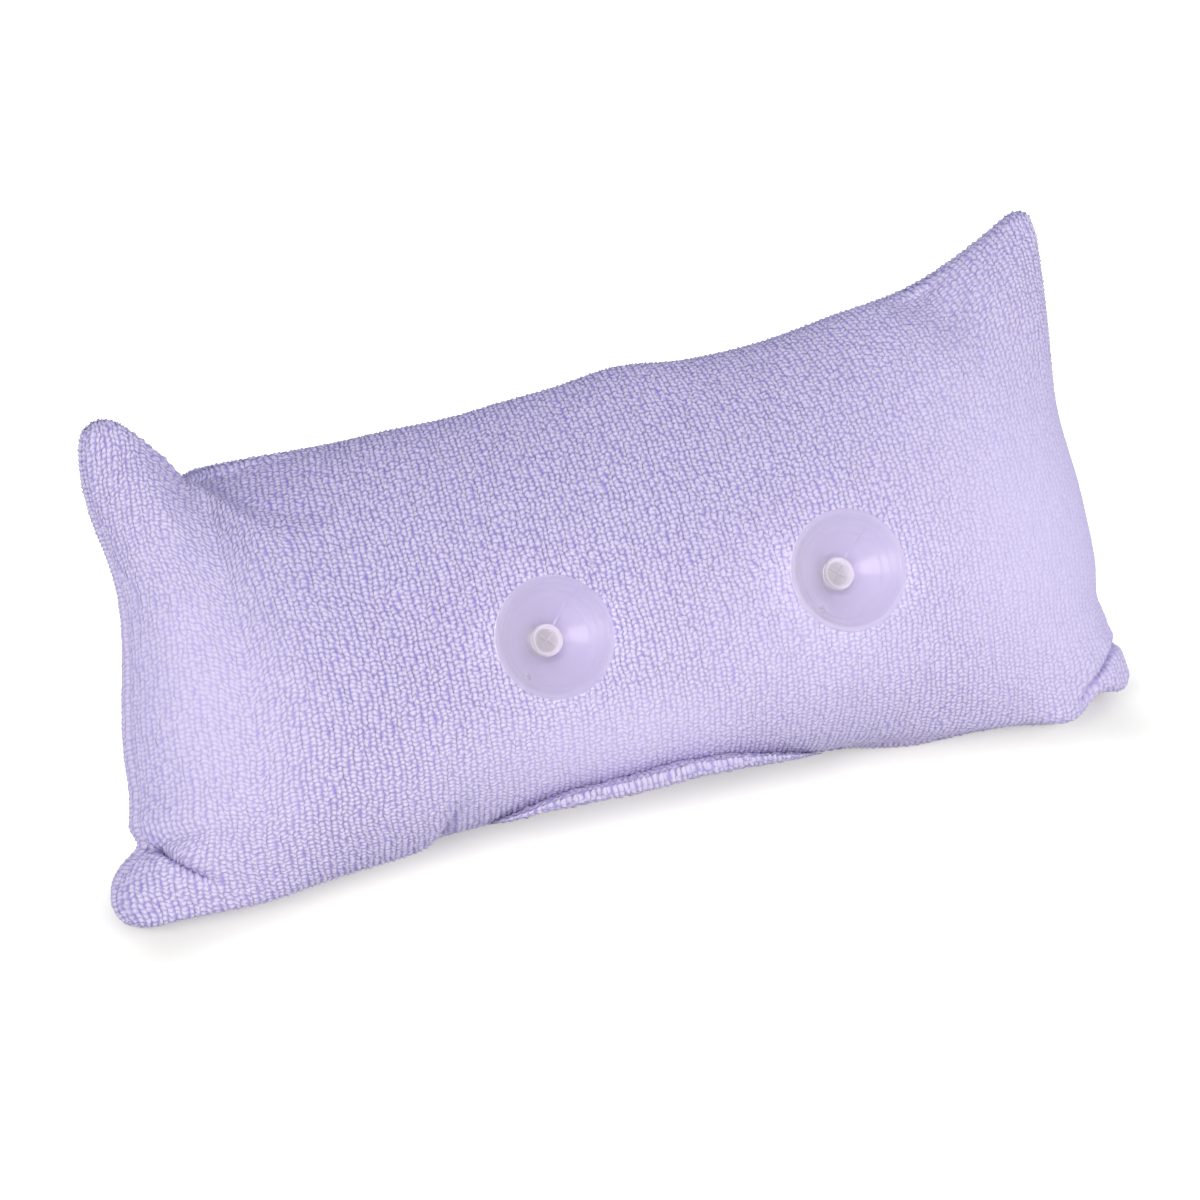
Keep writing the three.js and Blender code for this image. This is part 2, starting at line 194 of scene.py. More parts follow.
def even_steps(points, count):
    """Shares of the way along a line of points at which its length falls into even steps."""
    steps = np.linalg.norm(np.diff(points, axis=0), axis=1)
    run = np.concatenate([[0], np.cumsum(steps)])
    return np.interp(np.linspace(0, run[-1], count), run, np.linspace(-1, 1, len(points)))


def cloth_grid(side, columns, rows):
    """Where an even grid drawn on the flat panel lies on the stuffed form."""
    fine = np.linspace(-1, 1, FINE_POINTS)
    over_crown = even_steps(panel_place(side, fine, np.zeros_like(fine)), columns + 1)
    flat_along = np.linspace(-1, 1, columns + 1)
    flat_up = np.linspace(-1, 1, rows + 1)
    at_seam = np.abs(flat_up) ** SEAM_EVENNESS
    p = over_crown[:, None] * (1 - at_seam) + flat_along[:, None] * at_seam
    q = np.empty_like(p)
    for i, place in enumerate(over_crown):
        q[i] = even_steps(panel_place(side, np.full_like(fine, place), fine), rows + 1)
    roll_along = flare(half_length * (1 - np.abs(flat_along)), ROLL_WIDTH)[:, None]
    roll_up = flare(half_height * (1 - np.abs(flat_up)), ROLL_WIDTH)[None, :]
    return panel_place(side, p, q, np.broadcast_to(roll_along, p.shape), np.broadcast_to(roll_up, p.shape))


# The cloth is let go over its stuffing for a moment: the seam stays where it is sewn, the springs have the
# lengths of the flat cut, and the pressure of the fill shapes the crown and the puckers beside the seam.
FLAT_LENGTH = 358
FLAT_HEIGHT = 172
CLOTH_COLUMNS = 120
CLOTH_ROWS = 60
FILL_PRESSURE = 8
SETTLING_STEPS = 20
MOST_MOVE = 6
PINNED = 1


def quads_of(index):
    return np.stack([index[:-1, :-1], index[1:, :-1], index[1:, 1:], index[:-1, 1:]], -1).reshape(-1, 4)


def round_quads(index):
    """Quads of a tube whose points are numbered ring by ring."""
    return quads_of(np.concatenate([index, index[:, :1]], axis=1))


def sewn_together(rear, front):
    """Two grids joined at their border: places, faces and the numbers of each grid's points."""
    inner = (slice(1, -1), slice(1, -1))
    rear_index = np.arange(rear[..., 0].size).reshape(rear.shape[:2])
    front_index = rear_index.copy()
    free = front[inner]
    front_index[inner] = np.arange(free[..., 0].size).reshape(free.shape[:2]) + rear_index.size
    places = np.concatenate([rear.reshape(-1, 3), free.reshape(-1, 3)])
    faces = np.concatenate([quads_of(rear_index), quads_of(front_index)[:, ::-1]])
    return places, faces, rear_index, front_index


def new_piece(name, places, faces, *materials):
    """A smooth piece from its places in millimetres in the frame's axes, its faces and its materials."""
    mesh = bpy.data.meshes.new(name)
    mesh.from_pydata((places * MM).tolist(), [], [[int(corner) for corner in face] for face in faces])
    mesh.shade_smooth()
    for material in materials:
        mesh.materials.append(material)
    piece = bpy.data.objects.new(name, mesh)
    scene.collection.objects.link(piece)
    return piece


def let_go(rear, front):
    """Moves of the two panels' points when the sewn cover is let go over its stuffing."""
    places, faces, rear_index, front_index = sewn_together(rear, front)
    shape = rear.shape[:2]
    inner = (slice(1, -1), slice(1, -1))
    flat_along = np.linspace(-FLAT_LENGTH / 2, FLAT_LENGTH / 2, shape[0])
    flat_up = np.linspace(-FLAT_HEIGHT / 2, FLAT_HEIGHT / 2, shape[1])
    cut = np.stack(np.broadcast_arrays(flat_along[:, None], flat_up[None, :], 0.0), -1)
    flat = np.concatenate([cut.reshape(-1, 3), cut[inner].reshape(-1, 3)])
    cover = new_piece("cover_let_go", places, faces)
    cover.shape_key_add(name="stuffed")
    cut_shape = cover.shape_key_add(name="cut")
    cut_shape.data.foreach_set("co", (flat * MM).ravel())
    seam = np.ones(shape, bool)
    seam[inner] = False
    cover.vertex_groups.new(name="seam").add(rear_index[seam].tolist(), PINNED, "REPLACE")
    cloth = cover.modifiers.new("cloth", "CLOTH")
    cloth.settings.rest_shape_key = cut_shape
    cloth.settings.vertex_group_mass = "seam"
    cloth.settings.use_pressure = True
    cloth.settings.uniform_pressure_force = FILL_PRESSURE
    cloth.settings.effector_weights.gravity = 0
    for step in range(1, SETTLING_STEPS + 1):
        scene.frame_set(step)
    settled = cover.evaluated_get(bpy.context.evaluated_depsgraph_get()).to_mesh()
    after = np.empty(len(settled.vertices) * 3, np.float32)
    settled.vertices.foreach_get("co", after)
    moved = after.reshape(-1, 3).astype(float) / MM - places
    length = np.maximum(np.linalg.norm(moved, axis=1, keepdims=True), MM)
    moved = moved * np.minimum(1, MOST_MOVE / length)
    bpy.data.objects.remove(cover)
    scene.frame_set(1)
    return {"rear": moved[rear_index], "front": moved[front_index]}


def between(values, count):
    """Values on a grid at even places along its first axis, on a Catmull-Rom curve through them."""
    place = np.linspace(0, len(values) - 1, count)
    first = np.clip(place.astype(int), 0, len(values) - 2)
    share = (place - first).reshape(-1, *[1] * (values.ndim - 1))
    a, b = values[np.maximum(first - 1, 0)], values[first]
    c, d = values[first + 1], values[np.minimum(first + 2, len(values) - 1)]
    bend = 2 * a - 5 * b + 4 * c - d + (3 * b - a - 3 * c + d) * share
    return b + share / 2 * (c - a + share * bend)


def refined(values, shape):
    """Values on a coarse grid, smoothly spread over a finer one."""
    return between(between(values, shape[0]).swapaxes(0, 1), shape[1]).swapaxes(0, 1)


def uneven(rng, height, spacing, shape):
    """Random ups and downs of a panel, with their usual height and spacing, on a grid of some shape."""
    counts = (round(FLAT_LENGTH / spacing), round(FLAT_HEIGHT / spacing))
    return refined(rng.normal(0, height, counts), shape)


coarse = {side: cloth_grid(side, CLOTH_COLUMNS, CLOTH_ROWS) for side in OUTWARD}
moves = let_go(coarse["rear"], coarse["front"])

# Buttonholes
# Each cup's stem passes through the rear panel in a round buttonhole. The cup's joints say where: its swivel
# axis is the stem's middle line, and the pivot lies halfway through the cloth.
PIVOT_DEPTH = 1.5
BUTTONHOLE_RADIUS = 5
BUTTONHOLE_CORE = 2.4
BUTTONHOLE_REACH = 10
SEAT_REACH = 20
SEAT_FLATNESS = 4

cup_axes = {}
cup_seats = {}
seat_places = {}
for joint in frame["joints"]:
    if joint["name"].endswith("_cup_swivel"):
        name = joint["name"].removesuffix("_cup_swivel")
        cup_axes[name] = Vector(joint["axis"]).normalized()
        cup_seats[name] = Vector(joint["pos_m"]) / MM + cup_axes[name] * PIVOT_DEPTH
        x, y, z = cup_seats[name] - Vector(SEAM_FOOT)
        up = y * math.sin(LEAN) + z * math.cos(LEAN)
        seat_places[name] = (x, up, z * math.sin(LEAN) - y * math.cos(LEAN))


def seat_distance(places, seat):
    return np.hypot(places[..., 0] - seat[0], places[..., 1] - seat[1])


def near_seat(places, seat, reach):
    """One round a cup's seat, falling to zero about its reach."""
    return np.exp(-(seat_distance(places, seat) / reach) ** SEAT_FLATNESS)


# Cover panels
# Lilac microfibre terry: a knitted ground with upright loops in rows, 1.9 mm from row to row and 1.5 mm from
# loop to loop. Each panel is one cut of cloth with its loops in the mesh, and a lining face behind them.
ROW_SPACING = 1.9
LOOP_SPACING = 1.5
PILE_HEIGHT = 1
CLOTH_THICKNESS = 2.5
LINING_STEP = 4
CLOTH_WANDER = 0.25
ROW_WANDER = 0.2
WANDER_STEP = 12
ROW_WANDER_STEP = 6
LOOP_LEAN = 0.1
LOOP_SPREAD = (0.7, 1.1)
LOOP_DIP = 0.2
LOOP_DIP_HIGH_UP = 0.4
GAP_HEIGHTS = (0.3, 0.1)
UNEVENNESS = 0.7
UNEVEN_SPACING = 38
SEAM_FADE = 4
PUCKER_WIDTH = 16
# The loops' colour runs from painted shade down in the gaps, through their sides, to the cloth's own colour
# on their crowns.
TERRY_CROWN_COLOUR = "#E9E3FB"
TERRY_SIDE_COLOUR = "#D8D0F3"
TERRY_GAP_SHADE_COLOUR = "#9487D6"
TERRY_SHEEN_COLOUR = "#E6DFFA"
TERRY_SHEEN = 0.25
TERRY_SHEEN_SPREAD = 0.5
TERRY_SHINE = 0.1
TERRY_BUMP = 0.9
LOOP_SCATTER = 0.45
LOOP_REACH = (0.15, 0.7)
LOOP_SHARE = 0.7
LOOP_STRETCH = (1, 0.8, 0)
# Sets each loop's bright middle off centre, so its painted shade lies on one side of it, as if lit from the
# other.
LOOP_SHADE_TILT = (0.12, -0.08, 0)
TONE_SHARE = 0.08
FUZZ_SIZE = 0.8
FUZZ_SHARE = 0.3
FUZZ_DETAIL = 2
NOISE_MIDDLE = (0.5, 0.5, 0.5)
BASE_SHARE = 0.5
FOLD_SIZES = ("route", "strength", "depth", "width", "left", "right", "reach", "lap")
FOLDS = [dict(zip(FOLD_SIZES, sizes)) for sizes in (
    ([(-179, 22), (-169, 18), (-163, 10), (-155, 3)], (0.8, 1, 0.1), 8, 1.7, 2.5, 2, 7, 3.5),
    ([(146, -4), (152.5, 3.5), (162, 13)], (0.1, 1, 1), 7, 1.7, 2, 1, 7, 3),
    ([(-77, -3), (-75, 4), (-71, 12)], (1, 0.8, 0), 3, 3, 1.5, 0, 8, 0),
    ([(-138, 138), (-128, 126), (-116.5, 111), (-108, 99)], (1, 1, 0.7, 0), -2, 4, -3, 1.5, 9, 0),
    ([(-158, 99), (-150, 91), (-141, 84)], (0, 1, 0), -1.5, 6, 0, 0, 6, 0),
    ([(124, 138), (139, 122)], (1, 1, 0.3), 5, 12, 0, 0, 12, 0),
)]
LAP_WIDTH = 4
# Patches where the loops are pressed flat: the loops are lower, and their painted gap shade is evened to one
# level there.
PRESSED = [(-150, 62, 30, 60, 0.5), (150, 55, 60, 70, 0.75), (-15, 18, 70, 20, 0.5), (60, 30, 70, 40, 0.4)]
PRESSED_LEVEL = 0.62


def unit(vectors):
    return vectors / np.maximum(np.linalg.norm(vectors, axis=-1, keepdims=True), MM)


def normals_of(grid):
    return unit(np.cross(np.gradient(grid, axis=0), np.gradient(grid, axis=1)))


def fold_moves(fold, along, up):
    """How far a fold moves the cloth along, up and outward.

    The cloth goes in along the fold's line and out beside it, and on the left side it laps over the line.
    """
    route = np.array(fold["route"], float)
    steps = np.diff(route, axis=0)
    lengths = np.linalg.norm(steps, axis=1)
    nearest = np.full(along.shape, np.inf)
    found = None
    before = 0
    for start, step, length in zip(route, steps, lengths):
        way = step / length
        off_along, off_up = along - start[0], up - start[1]
        at = np.clip(off_along * way[0] + off_up * way[1], 0, length)
        distance = np.hypot(off_along - at * way[0], off_up - at * way[1])
        on_left = way[0] * off_up > way[1] * off_along
        bulge = np.where(on_left, fold["left"], fold["right"])
        here = np.stack([bulge, (before + at) / lengths.sum(), on_left * way[1], on_left * -way[0]])
        found = here if found is None else np.where(distance < nearest, here, found)
        nearest = np.minimum(nearest, distance)
        before += length
    bulge, share, lap_along, lap_up = found
    strength = np.interp(share, np.linspace(0, 1, len(fold["strength"])), fold["strength"])
    crease = -fold["depth"] * np.exp(-(nearest / fold["width"]) ** 2)
    beside = nearest / fold["reach"]
    outward = strength * (crease + bulge * beside * np.exp(1 - beside))
    lap = strength * fold["lap"] * np.exp(-(nearest / LAP_WIDTH) ** 2)
    return np.stack([lap * lap_along, lap * lap_up, outward])


def settled_form(side, columns, rows, seed):
    """A panel's cloth as it lies and its lining: the stuffed form, let go, with folds and uneven fill."""
    form = cloth_grid(side, columns, rows)
    shape = form.shape[:2]
    along, up = form[..., 0], form[..., 1]
    rng = np.random.default_rng(seed)
    offset = uneven(rng, UNEVENNESS, UNEVEN_SPACING, shape)
    free = np.ones(shape)
    lap = np.zeros((2, *shape))
    if side == "rear":
        for seat in seat_places.values():
            free = free * (1 - near_seat(form, seat, SEAT_REACH))
        *lap, folded = sum(fold_moves(fold, along, up) for fold in FOLDS)
        offset = offset * free + folded
    from_end = FLAT_LENGTH / 2 * (1 - np.abs(np.linspace(-1, 1, shape[0])))[:, None]
    from_edge = FLAT_HEIGHT / 2 * (1 - np.abs(np.linspace(-1, 1, shape[1])))[None, :]
    from_seam = np.minimum(from_end, from_edge)
    fade = np.clip(from_seam / SEAM_FADE, 0, 1)
    eased = np.clip(from_seam / PUCKER_WIDTH, 0, 1) * free
    outward = normals_of(form) * OUTWARD[side]
    form = form + refined(moves[side], shape) * eased[..., None]
    offset = offset * fade
    sunk = np.maximum(-offset, 0)
    for axis in (0, 1):
        shifts = [np.roll(sunk, step, axis) for step in range(-LINING_STEP, LINING_STEP + 1)]
        sunk = np.max(shifts, axis=0)
    lining = form - outward * (CLOTH_THICKNESS + sunk)[..., None]
    lapped = np.stack([lap[0] * fade, lap[1] * fade, np.zeros(shape)], -1)
    return form + outward * offset[..., None] + lapped, lining[::LINING_STEP, ::LINING_STEP]


def linear(colour):
    """An sRGB hex colour as linear red, green, blue and alpha."""
    parts = [int(colour[i:i + 2], 16) / 255 for i in (1, 3, 5)]
    return [c / 12.92 if c <= 0.04045 else ((c + 0.055) / 1.055) ** 2.4 for c in parts] + [1]


def add_node(material, kind, settings=None, **inputs):
    """A shader node of some kind with its settings and its inputs, each a value or another node's output."""
    node = material.node_tree.nodes.new("ShaderNode" + kind)
    for key, value in (settings or {}).items():
        setattr(node, key, value)
    for key, value in inputs.items():
        socket = node.inputs[int(key[1:])] if key[0] == "_" else node.inputs[key.replace("_", " ")]
        if isinstance(value, bpy.types.NodeSocket):
            material.node_tree.links.new(value, socket)
        else:
            socket.default_value = value
    return node


def new_material(name, **inputs):
    """A material with a Principled shader and the values of its sockets."""
    material = bpy.data.materials.new(name)
    material.use_nodes = True
    shader = material.node_tree.nodes["Principled BSDF"]
    for key, value in inputs.items():
        shader.inputs[key.replace("_", " ")].default_value = value
    return material, shader


def terry_cloth():
    """Microfibre loop terry: matt, soft at the edges, with painted shade between loops and on one side of
    each.
    """
    material, shader = new_material(
        "microfibre_loop_terry",
        Roughness=1,
        Specular_IOR_Level=TERRY_SHINE,
        Sheen_Weight=TERRY_SHEEN,
        Sheen_Roughness=TERRY_SHEEN_SPREAD,
        Sheen_Tint=linear(TERRY_SHEEN_COLOUR),
    )
    pile = add_node(material, "Attribute", {"attribute_name": "pile"}).outputs["Fac"]
    weave = add_node(material, "Attribute", {"attribute_name": "weave"}).outputs["Vector"]
    where = add_node(material, "TexCoord").outputs["Object"]
    fuzz = add_node(
        material, "TexNoise", Vector=where, Scale=1 / (FUZZ_SIZE * MM), Detail=FUZZ_DETAIL
    ).outputs["Color"]
    stray = add_node(material, "VectorMath", {"operation": "SUBTRACT"}, _0=fuzz, _1=NOISE_MIDDLE).outputs[0]
    fuzzy = add_node(
        material, "VectorMath", {"operation": "MULTIPLY_ADD"}, _0=stray,
        _1=(FUZZ_SHARE, FUZZ_SHARE, 0), _2=weave,
    ).outputs[0]
    loops = add_node(
        material, "TexVoronoi", {"voronoi_dimensions": "2D"}, Vector=fuzzy, Scale=1, Randomness=LOOP_SCATTER
    ).outputs
    from_top = add_node(
        material, "VectorMath", {"operation": "SUBTRACT"}, _0=fuzzy, _1=loops["Position"]
    ).outputs[0]
    # Painted shade on one side of each loop: the loop's middle is set off centre.
    tilted = add_node(
        material, "VectorMath", {"operation": "MULTIPLY_ADD"}, _0=from_top, _1=LOOP_STRETCH, _2=LOOP_SHADE_TILT
    ).outputs[0]
    reach = add_node(material, "VectorMath", {"operation": "LENGTH"}, _0=tilted).outputs["Value"]
    loop = add_node(
        material, "MapRange", {"interpolation_type": "SMOOTHSTEP"}, _0=reach,
        _1=LOOP_REACH[0], _2=LOOP_REACH[1], _3=LOOP_SHARE, _4=0,
    ).outputs[0]
    level = add_node(
        material, "Math", {"operation": "MULTIPLY_ADD"}, _0=pile, _1=1 - LOOP_SHARE, _2=loop
    ).outputs[0]
    pressed = add_node(material, "SeparateXYZ", _0=weave).outputs["Z"]
    evened = add_node(material, "Mix", _0=pressed, _2=level, _3=PRESSED_LEVEL).outputs[0]
    tone = add_node(material, "MapRange", _0=loops["Color"], _3=-TONE_SHARE, _4=TONE_SHARE).outputs[0]
    toned = add_node(material, "Math", {"operation": "ADD"}, _0=evened, _1=tone).outputs[0]
    # Painted shade: low loop levels take the gap shade colour, high ones the colour of the crowns.
    colours = add_node(material, "ValToRGB", Fac=toned)
    stops = colours.color_ramp.elements
    stops[0].color = linear(TERRY_GAP_SHADE_COLOUR)
    stops[1].color = linear(TERRY_CROWN_COLOUR)
    stops.new(BASE_SHARE).color = linear(TERRY_SIDE_COLOUR)
    bump = add_node(material, "Bump", Height=evened, Strength=TERRY_BUMP, Distance=PILE_HEIGHT * MM)
    material.node_tree.links.new(colours.outputs["Color"], shader.inputs["Base Color"])
    material.node_tree.links.new(bump.outputs["Normal"], shader.inputs["Normal"])
    return material


def terry_relief(grid, seed):
    """Loop heights from 0 to 1, how far each point wanders along and up the cloth, and its weave.

    The grid has two columns to a row of loops and two rows to a loop, and neighbouring rows are half a loop
    apart. The weave counts rows and loops, and its third number says how far the loops are pressed flat.
    """
    rng = np.random.default_rng(seed)
    shape = grid.shape[:2]
    i, j = np.meshgrid(np.arange(shape[0]), np.arange(shape[1]), indexing="ij")
    on_row = i % 2 == 1
    loop_top = (j + i // 2) % 2 == 0
    high_up = np.clip(grid[..., 1] / SEAM_HEIGHT, 0, 1)
    in_row = np.where(loop_top, 1, 1 - LOOP_DIP - LOOP_DIP_HIGH_UP * high_up)
    between_rows = np.where(loop_top, *GAP_HEIGHTS)
    height = np.where(on_row, in_row, between_rows) * rng.uniform(*LOOP_SPREAD, shape)
    pressed = np.zeros(shape)
    for along, up, reach_along, reach_up, share in PRESSED:
        away = ((grid[..., 0] - along) / reach_along) ** 2 + ((grid[..., 1] - up) / reach_up) ** 2
        pressed = np.maximum(pressed, share * np.exp(-away))
    height = np.clip(height + pressed * (PRESSED_LEVEL - height), 0, 1)
    wander_shape = (shape[0] // WANDER_STEP, shape[1] // WANDER_STEP)
    wander = refined(rng.normal(0, CLOTH_WANDER, wander_shape), shape)
    row_shape = (shape[1] // ROW_WANDER_STEP, shape[0] // 2 + 1)
    row_wander = between(rng.normal(0, ROW_WANDER, row_shape), shape[1]).T
    lean = rng.normal(0, LOOP_LEAN, (2, *shape))
    shifted = np.where(on_row, i // 2 % 2, 0.5) / 2
    weave = np.stack([i / 2 - (1 - LOOP_SCATTER) / 2, j / 2 + shifted, pressed], -1)
    return height, wander + row_wander[i[:, 0] // 2] + lean[0], lean[1], weave


def ring_of(removed):
    """Grid points that lie between removed and kept cells."""
    touched = np.zeros((removed.shape[0] + 1, removed.shape[1] + 1), int)
    for i in (0, 1):
        for j in (0, 1):
            touched[i:i + removed.shape[0], j:j + removed.shape[1]] += removed
    return (touched > 0) & (touched < 4)


def by_angle(index, places, seat):
    """A ring of points in order round a seat, with their angles."""
    angle = np.arctan2(places[index, 1] - seat[1], places[index, 0] - seat[0])
    order = np.argsort(angle)
    return index[order], angle[order]


def band_between(inner, inner_angle, outer, outer_angle):
    """Triangles that fill the band between two rings round the same seat."""
    faces = []
    i, j = 0, 0
    while i < len(inner) or j < len(outer):
        next_inner = inner_angle[i % len(inner)] + math.tau * (i // len(inner))
        next_outer = outer_angle[j % len(outer)] + math.tau * (j // len(outer))
        a, b = inner[(i - 1) % len(inner)], outer[(j - 1) % len(outer)]
        if j == len(outer) or (i < len(inner) and next_inner < next_outer):
            faces.append((a, b, inner[i]))
            i += 1
        else:
            faces.append((a, b, outer[j]))
            j += 1
    return faces


def panel_mesh(name, side, grid, lining, seed, seats):
    """A closed panel: the pile side, a coarse lining that meets it all round, and its buttonholes."""
    columns, rows = grid.shape[0] - 1, grid.shape[1] - 1
    outward = normals_of(grid) * OUTWARD[side]
    height, wander, lean, weave = terry_relief(grid, seed)
    step_along = unit(np.gradient(grid, axis=0))
    step_up = unit(np.gradient(grid, axis=1))
    inside = np.zeros(grid.shape[:2], bool)
    inside[1:-1, 1:-1] = True
    pile = grid + outward * ((height - BASE_SHARE) * PILE_HEIGHT)[..., None]
    pile = pile + step_along * (wander * inside)[..., None] + step_up * (lean * inside)[..., None]
    index = np.arange(height.size).reshape(height.shape)
    lining_index = np.arange(lining[..., 0].size).reshape(lining.shape[:2]) + index.size
    places = [pile.reshape(-1, 3), lining.reshape(-1, 3)]
    weaves = [weave.reshape(-1, 3), weave[::LINING_STEP, ::LINING_STEP].reshape(-1, 3)]
    count = index.size + lining_index.size
    kept = np.ones((columns, rows), bool)
    lining_kept = np.ones((columns // LINING_STEP, rows // LINING_STEP), bool)
    edge_faces = []
    for seat in seats:
        away = seat_distance(grid, seat)
        removed = quads_of(away).mean(-1).reshape(kept.shape) < BUTTONHOLE_CORE
        ring = index[ring_of(removed)]
        kept &= ~removed
        flat = places[0]
        from_seat = flat - np.array(seat)
        reach = np.maximum(away.ravel(), MM)
        share = np.clip((reach - BUTTONHOLE_CORE) / (BUTTONHOLE_REACH - BUTTONHOLE_CORE), 0, 1)
        pushed = BUTTONHOLE_RADIUS + share * (BUTTONHOLE_REACH - BUTTONHOLE_RADIUS)
        pushed[ring] = BUTTONHOLE_RADIUS
        grow = np.where(reach < BUTTONHOLE_REACH, pushed / reach, 1)
        flat[:, :2] = np.array(seat)[:2] + from_seat[:, :2] * grow[:, None]
        ring, ring_angle = by_angle(ring, flat, seat)
        inner_places = flat[ring] - outward.reshape(-1, 3)[ring] * CLOTH_THICKNESS
        inner = np.arange(len(ring)) + count
        count += len(ring)
        places.append(inner_places)
        weaves.append(weaves[0][ring])
        edge_faces += [(ring[k - 1], inner[k - 1], inner[k], ring[k]) for k in range(len(ring))]
        lining_away = seat_distance(lining, seat) < BUTTONHOLE_RADIUS + CLOTH_THICKNESS / 2
        lining_removed = quads_of(lining_away).any(-1).reshape(lining_kept.shape)
        lining_kept &= ~lining_removed
        outer = lining_index[ring_of(lining_removed)]
        outer, outer_angle = by_angle(outer, np.concatenate(places), seat)
        edge_faces += band_between(inner, ring_angle, outer, outer_angle)
    borders = [
        (index[::-1, 0], lining_index[::-1, 0]),
        (index[0, :], lining_index[0, :]),
        (index[:, -1], lining_index[:, -1]),
        (index[-1, ::-1], lining_index[-1, ::-1]),
    ]
    for fine, coarse_edge in borders:
        for k in range(len(coarse_edge) - 1):
            here, after = coarse_edge[k:k + 2]
            first = k * LINING_STEP
            half = first + LINING_STEP // 2
            edge_faces += [(here, fine[m], fine[m + 1]) for m in range(first, half)]
            edge_faces.append((here, fine[half], after))
            edge_faces += [(after, fine[m], fine[m + 1]) for m in range(half, first + LINING_STEP)]
    pile_faces = quads_of(index)[kept.ravel()]
    lining_faces = quads_of(lining_index)[lining_kept.ravel()][:, ::-1]
    faces = pile_faces.tolist() + lining_faces.tolist() + [list(face) for face in edge_faces]
    if side == "front":
        faces = [face[::-1] for face in faces]
    return new_cloth(name, np.concatenate(places), faces, height.ravel(), np.concatenate(weaves))


def new_cloth(name, places, faces, height, weave):
    """A terry piece from its places in pillow coordinates, its faces, its loops' heights and its weave."""
    used = np.zeros(len(places), bool)
    used[[corner for face in faces for corner in face]] = True
    renumbered = np.cumsum(used) - 1
    standing = stand_up(places)
    standing[:, 2] = np.maximum(standing[:, 2], 0)
    piece = new_piece(name, standing[used], [renumbered[face] for face in faces], terry)
    heights = np.zeros(len(places), np.float32)
    heights[:len(height)] = height
    # The loop heights also set the painted gap shade in the terry material.
    piece.data.attributes.new("pile", "FLOAT", "POINT").data.foreach_set("value", heights[used])
    woven = weave[used].astype(np.float32).ravel()
    piece.data.attributes.new("weave", "FLOAT_VECTOR", "POINT").data.foreach_set("vector", woven)
    return piece


terry = terry_cloth()
row_columns = LINING_STEP * round(2 * FLAT_LENGTH / ROW_SPACING / LINING_STEP)
loop_rows = LINING_STEP * round(2 * FLAT_HEIGHT / LOOP_SPACING / LINING_STEP)
forms = {}
for seed, side in enumerate(OUTWARD):
    forms[side], lining = settled_form(side, row_columns, loop_rows, seed)
    seats = list(seat_places.values()) if side == "rear" else []
    panel = panel_mesh(side + "_terry_panel", side, forms[side], lining, seed, seats)
    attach(panel, "pillow")
    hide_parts(side + "_cover_panel")

# Closing hem
# The stuffing opening at the middle of the lower seam, shut by hand after filling. Its turned-in edge stands
# forward under the rear panel as a narrow roll of terry that runs out to nothing at both ends.
HEM_TOP = [
    (-60, 1.5), (-45, 5.2), (-34, 6.7), (-21, 6.9), (-10, 7.3), (3, 8.1), (19.5, 6.4), (37, 2.9), (56, -0.8),
]
HEM_THICKNESS = [
    (-60, 0.2), (-57, 1.2), (-36, 4.6), (-24, 5.2), (-14, 5.8), (-2, 6), (13, 5.3), (28, 3.6), (56, 0.2),
]
HEM_FULL_THICKNESS = 2
HEM_LOOP_HEIGHTS = (1, 0.3)
HEM_SPREAD = (0.5, 1.2)
HEM_BAND = 3
HEM_HALF_DEPTH = 6.2
HEM_FORWARD = 2.4
HEM_SECTION = 40
HEM_FLATNESS = 0.6
HEM_STROKE = 4


def closing_hem(rear):
    """The roll of the hem, as a closed tube of terry under the belly of the rear panel."""
    columns = 2 * round((HEM_TOP[-1][0] - HEM_TOP[0][0]) / ROW_SPACING)
    along = np.linspace(HEM_TOP[0][0], HEM_TOP[-1][0], columns + 1)
    top = np.interp(along, *zip(*HEM_TOP))
    thickness = np.interp(along, *zip(*HEM_THICKNESS))
    low = rear[:, :rear.shape[1] // 2]
    belly = []
    for a, t in zip(along, top):
        column = low[np.argmin(np.abs(low[:, 0, 0] - a))]
        rising = np.argmin(column[:, 1])
        belly.append(np.interp(t, column[rising:, 1], column[rising:, 2]))
    angle = np.linspace(-math.pi, math.pi, HEM_SECTION, endpoint=False)
    i, j = np.meshgrid(np.arange(columns + 1), np.arange(HEM_SECTION), indexing="ij")
    rng = np.random.default_rng(len(OUTWARD))
    spread = rng.uniform(*HEM_SPREAD, (HEM_SECTION // HEM_BAND, columns + 1))
    height = np.where(i % 2 == 1, *HEM_LOOP_HEIGHTS) * between(spread, HEM_SECTION).T
    full = np.minimum(1, thickness / HEM_FULL_THICKNESS)[:, None]
    relief = (height - BASE_SHARE) * PILE_HEIGHT * full
    half_up = thickness[:, None] / 2 + relief
    half_out = HEM_HALF_DEPTH * full + relief
    turns = (np.sin(angle), np.cos(angle))
    across, forward = [np.sign(turn) * np.abs(turn) ** HEM_FLATNESS for turn in turns]
    places = np.stack([
        along[:, None] + rng.normal(0, LOOP_LEAN, i.shape),
        (top - thickness / 2)[:, None] + half_up * across,
        np.array(belly)[:, None] + HEM_FORWARD + half_out * forward,
    ], -1)
    index = np.arange(i.size).reshape(i.shape)
    faces = round_quads(index)[:, ::-1].tolist() + [index[0].tolist(), index[-1, ::-1].tolist()]
    weave = np.stack([i / 2, j / HEM_STROKE, np.zeros(i.shape)], -1)
    return new_cloth("closing_hem", places.reshape(-1, 3), faces, height.ravel(), weave.reshape(-1, 3))


hem = closing_hem(forms["rear"])
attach(hem, "pillow")

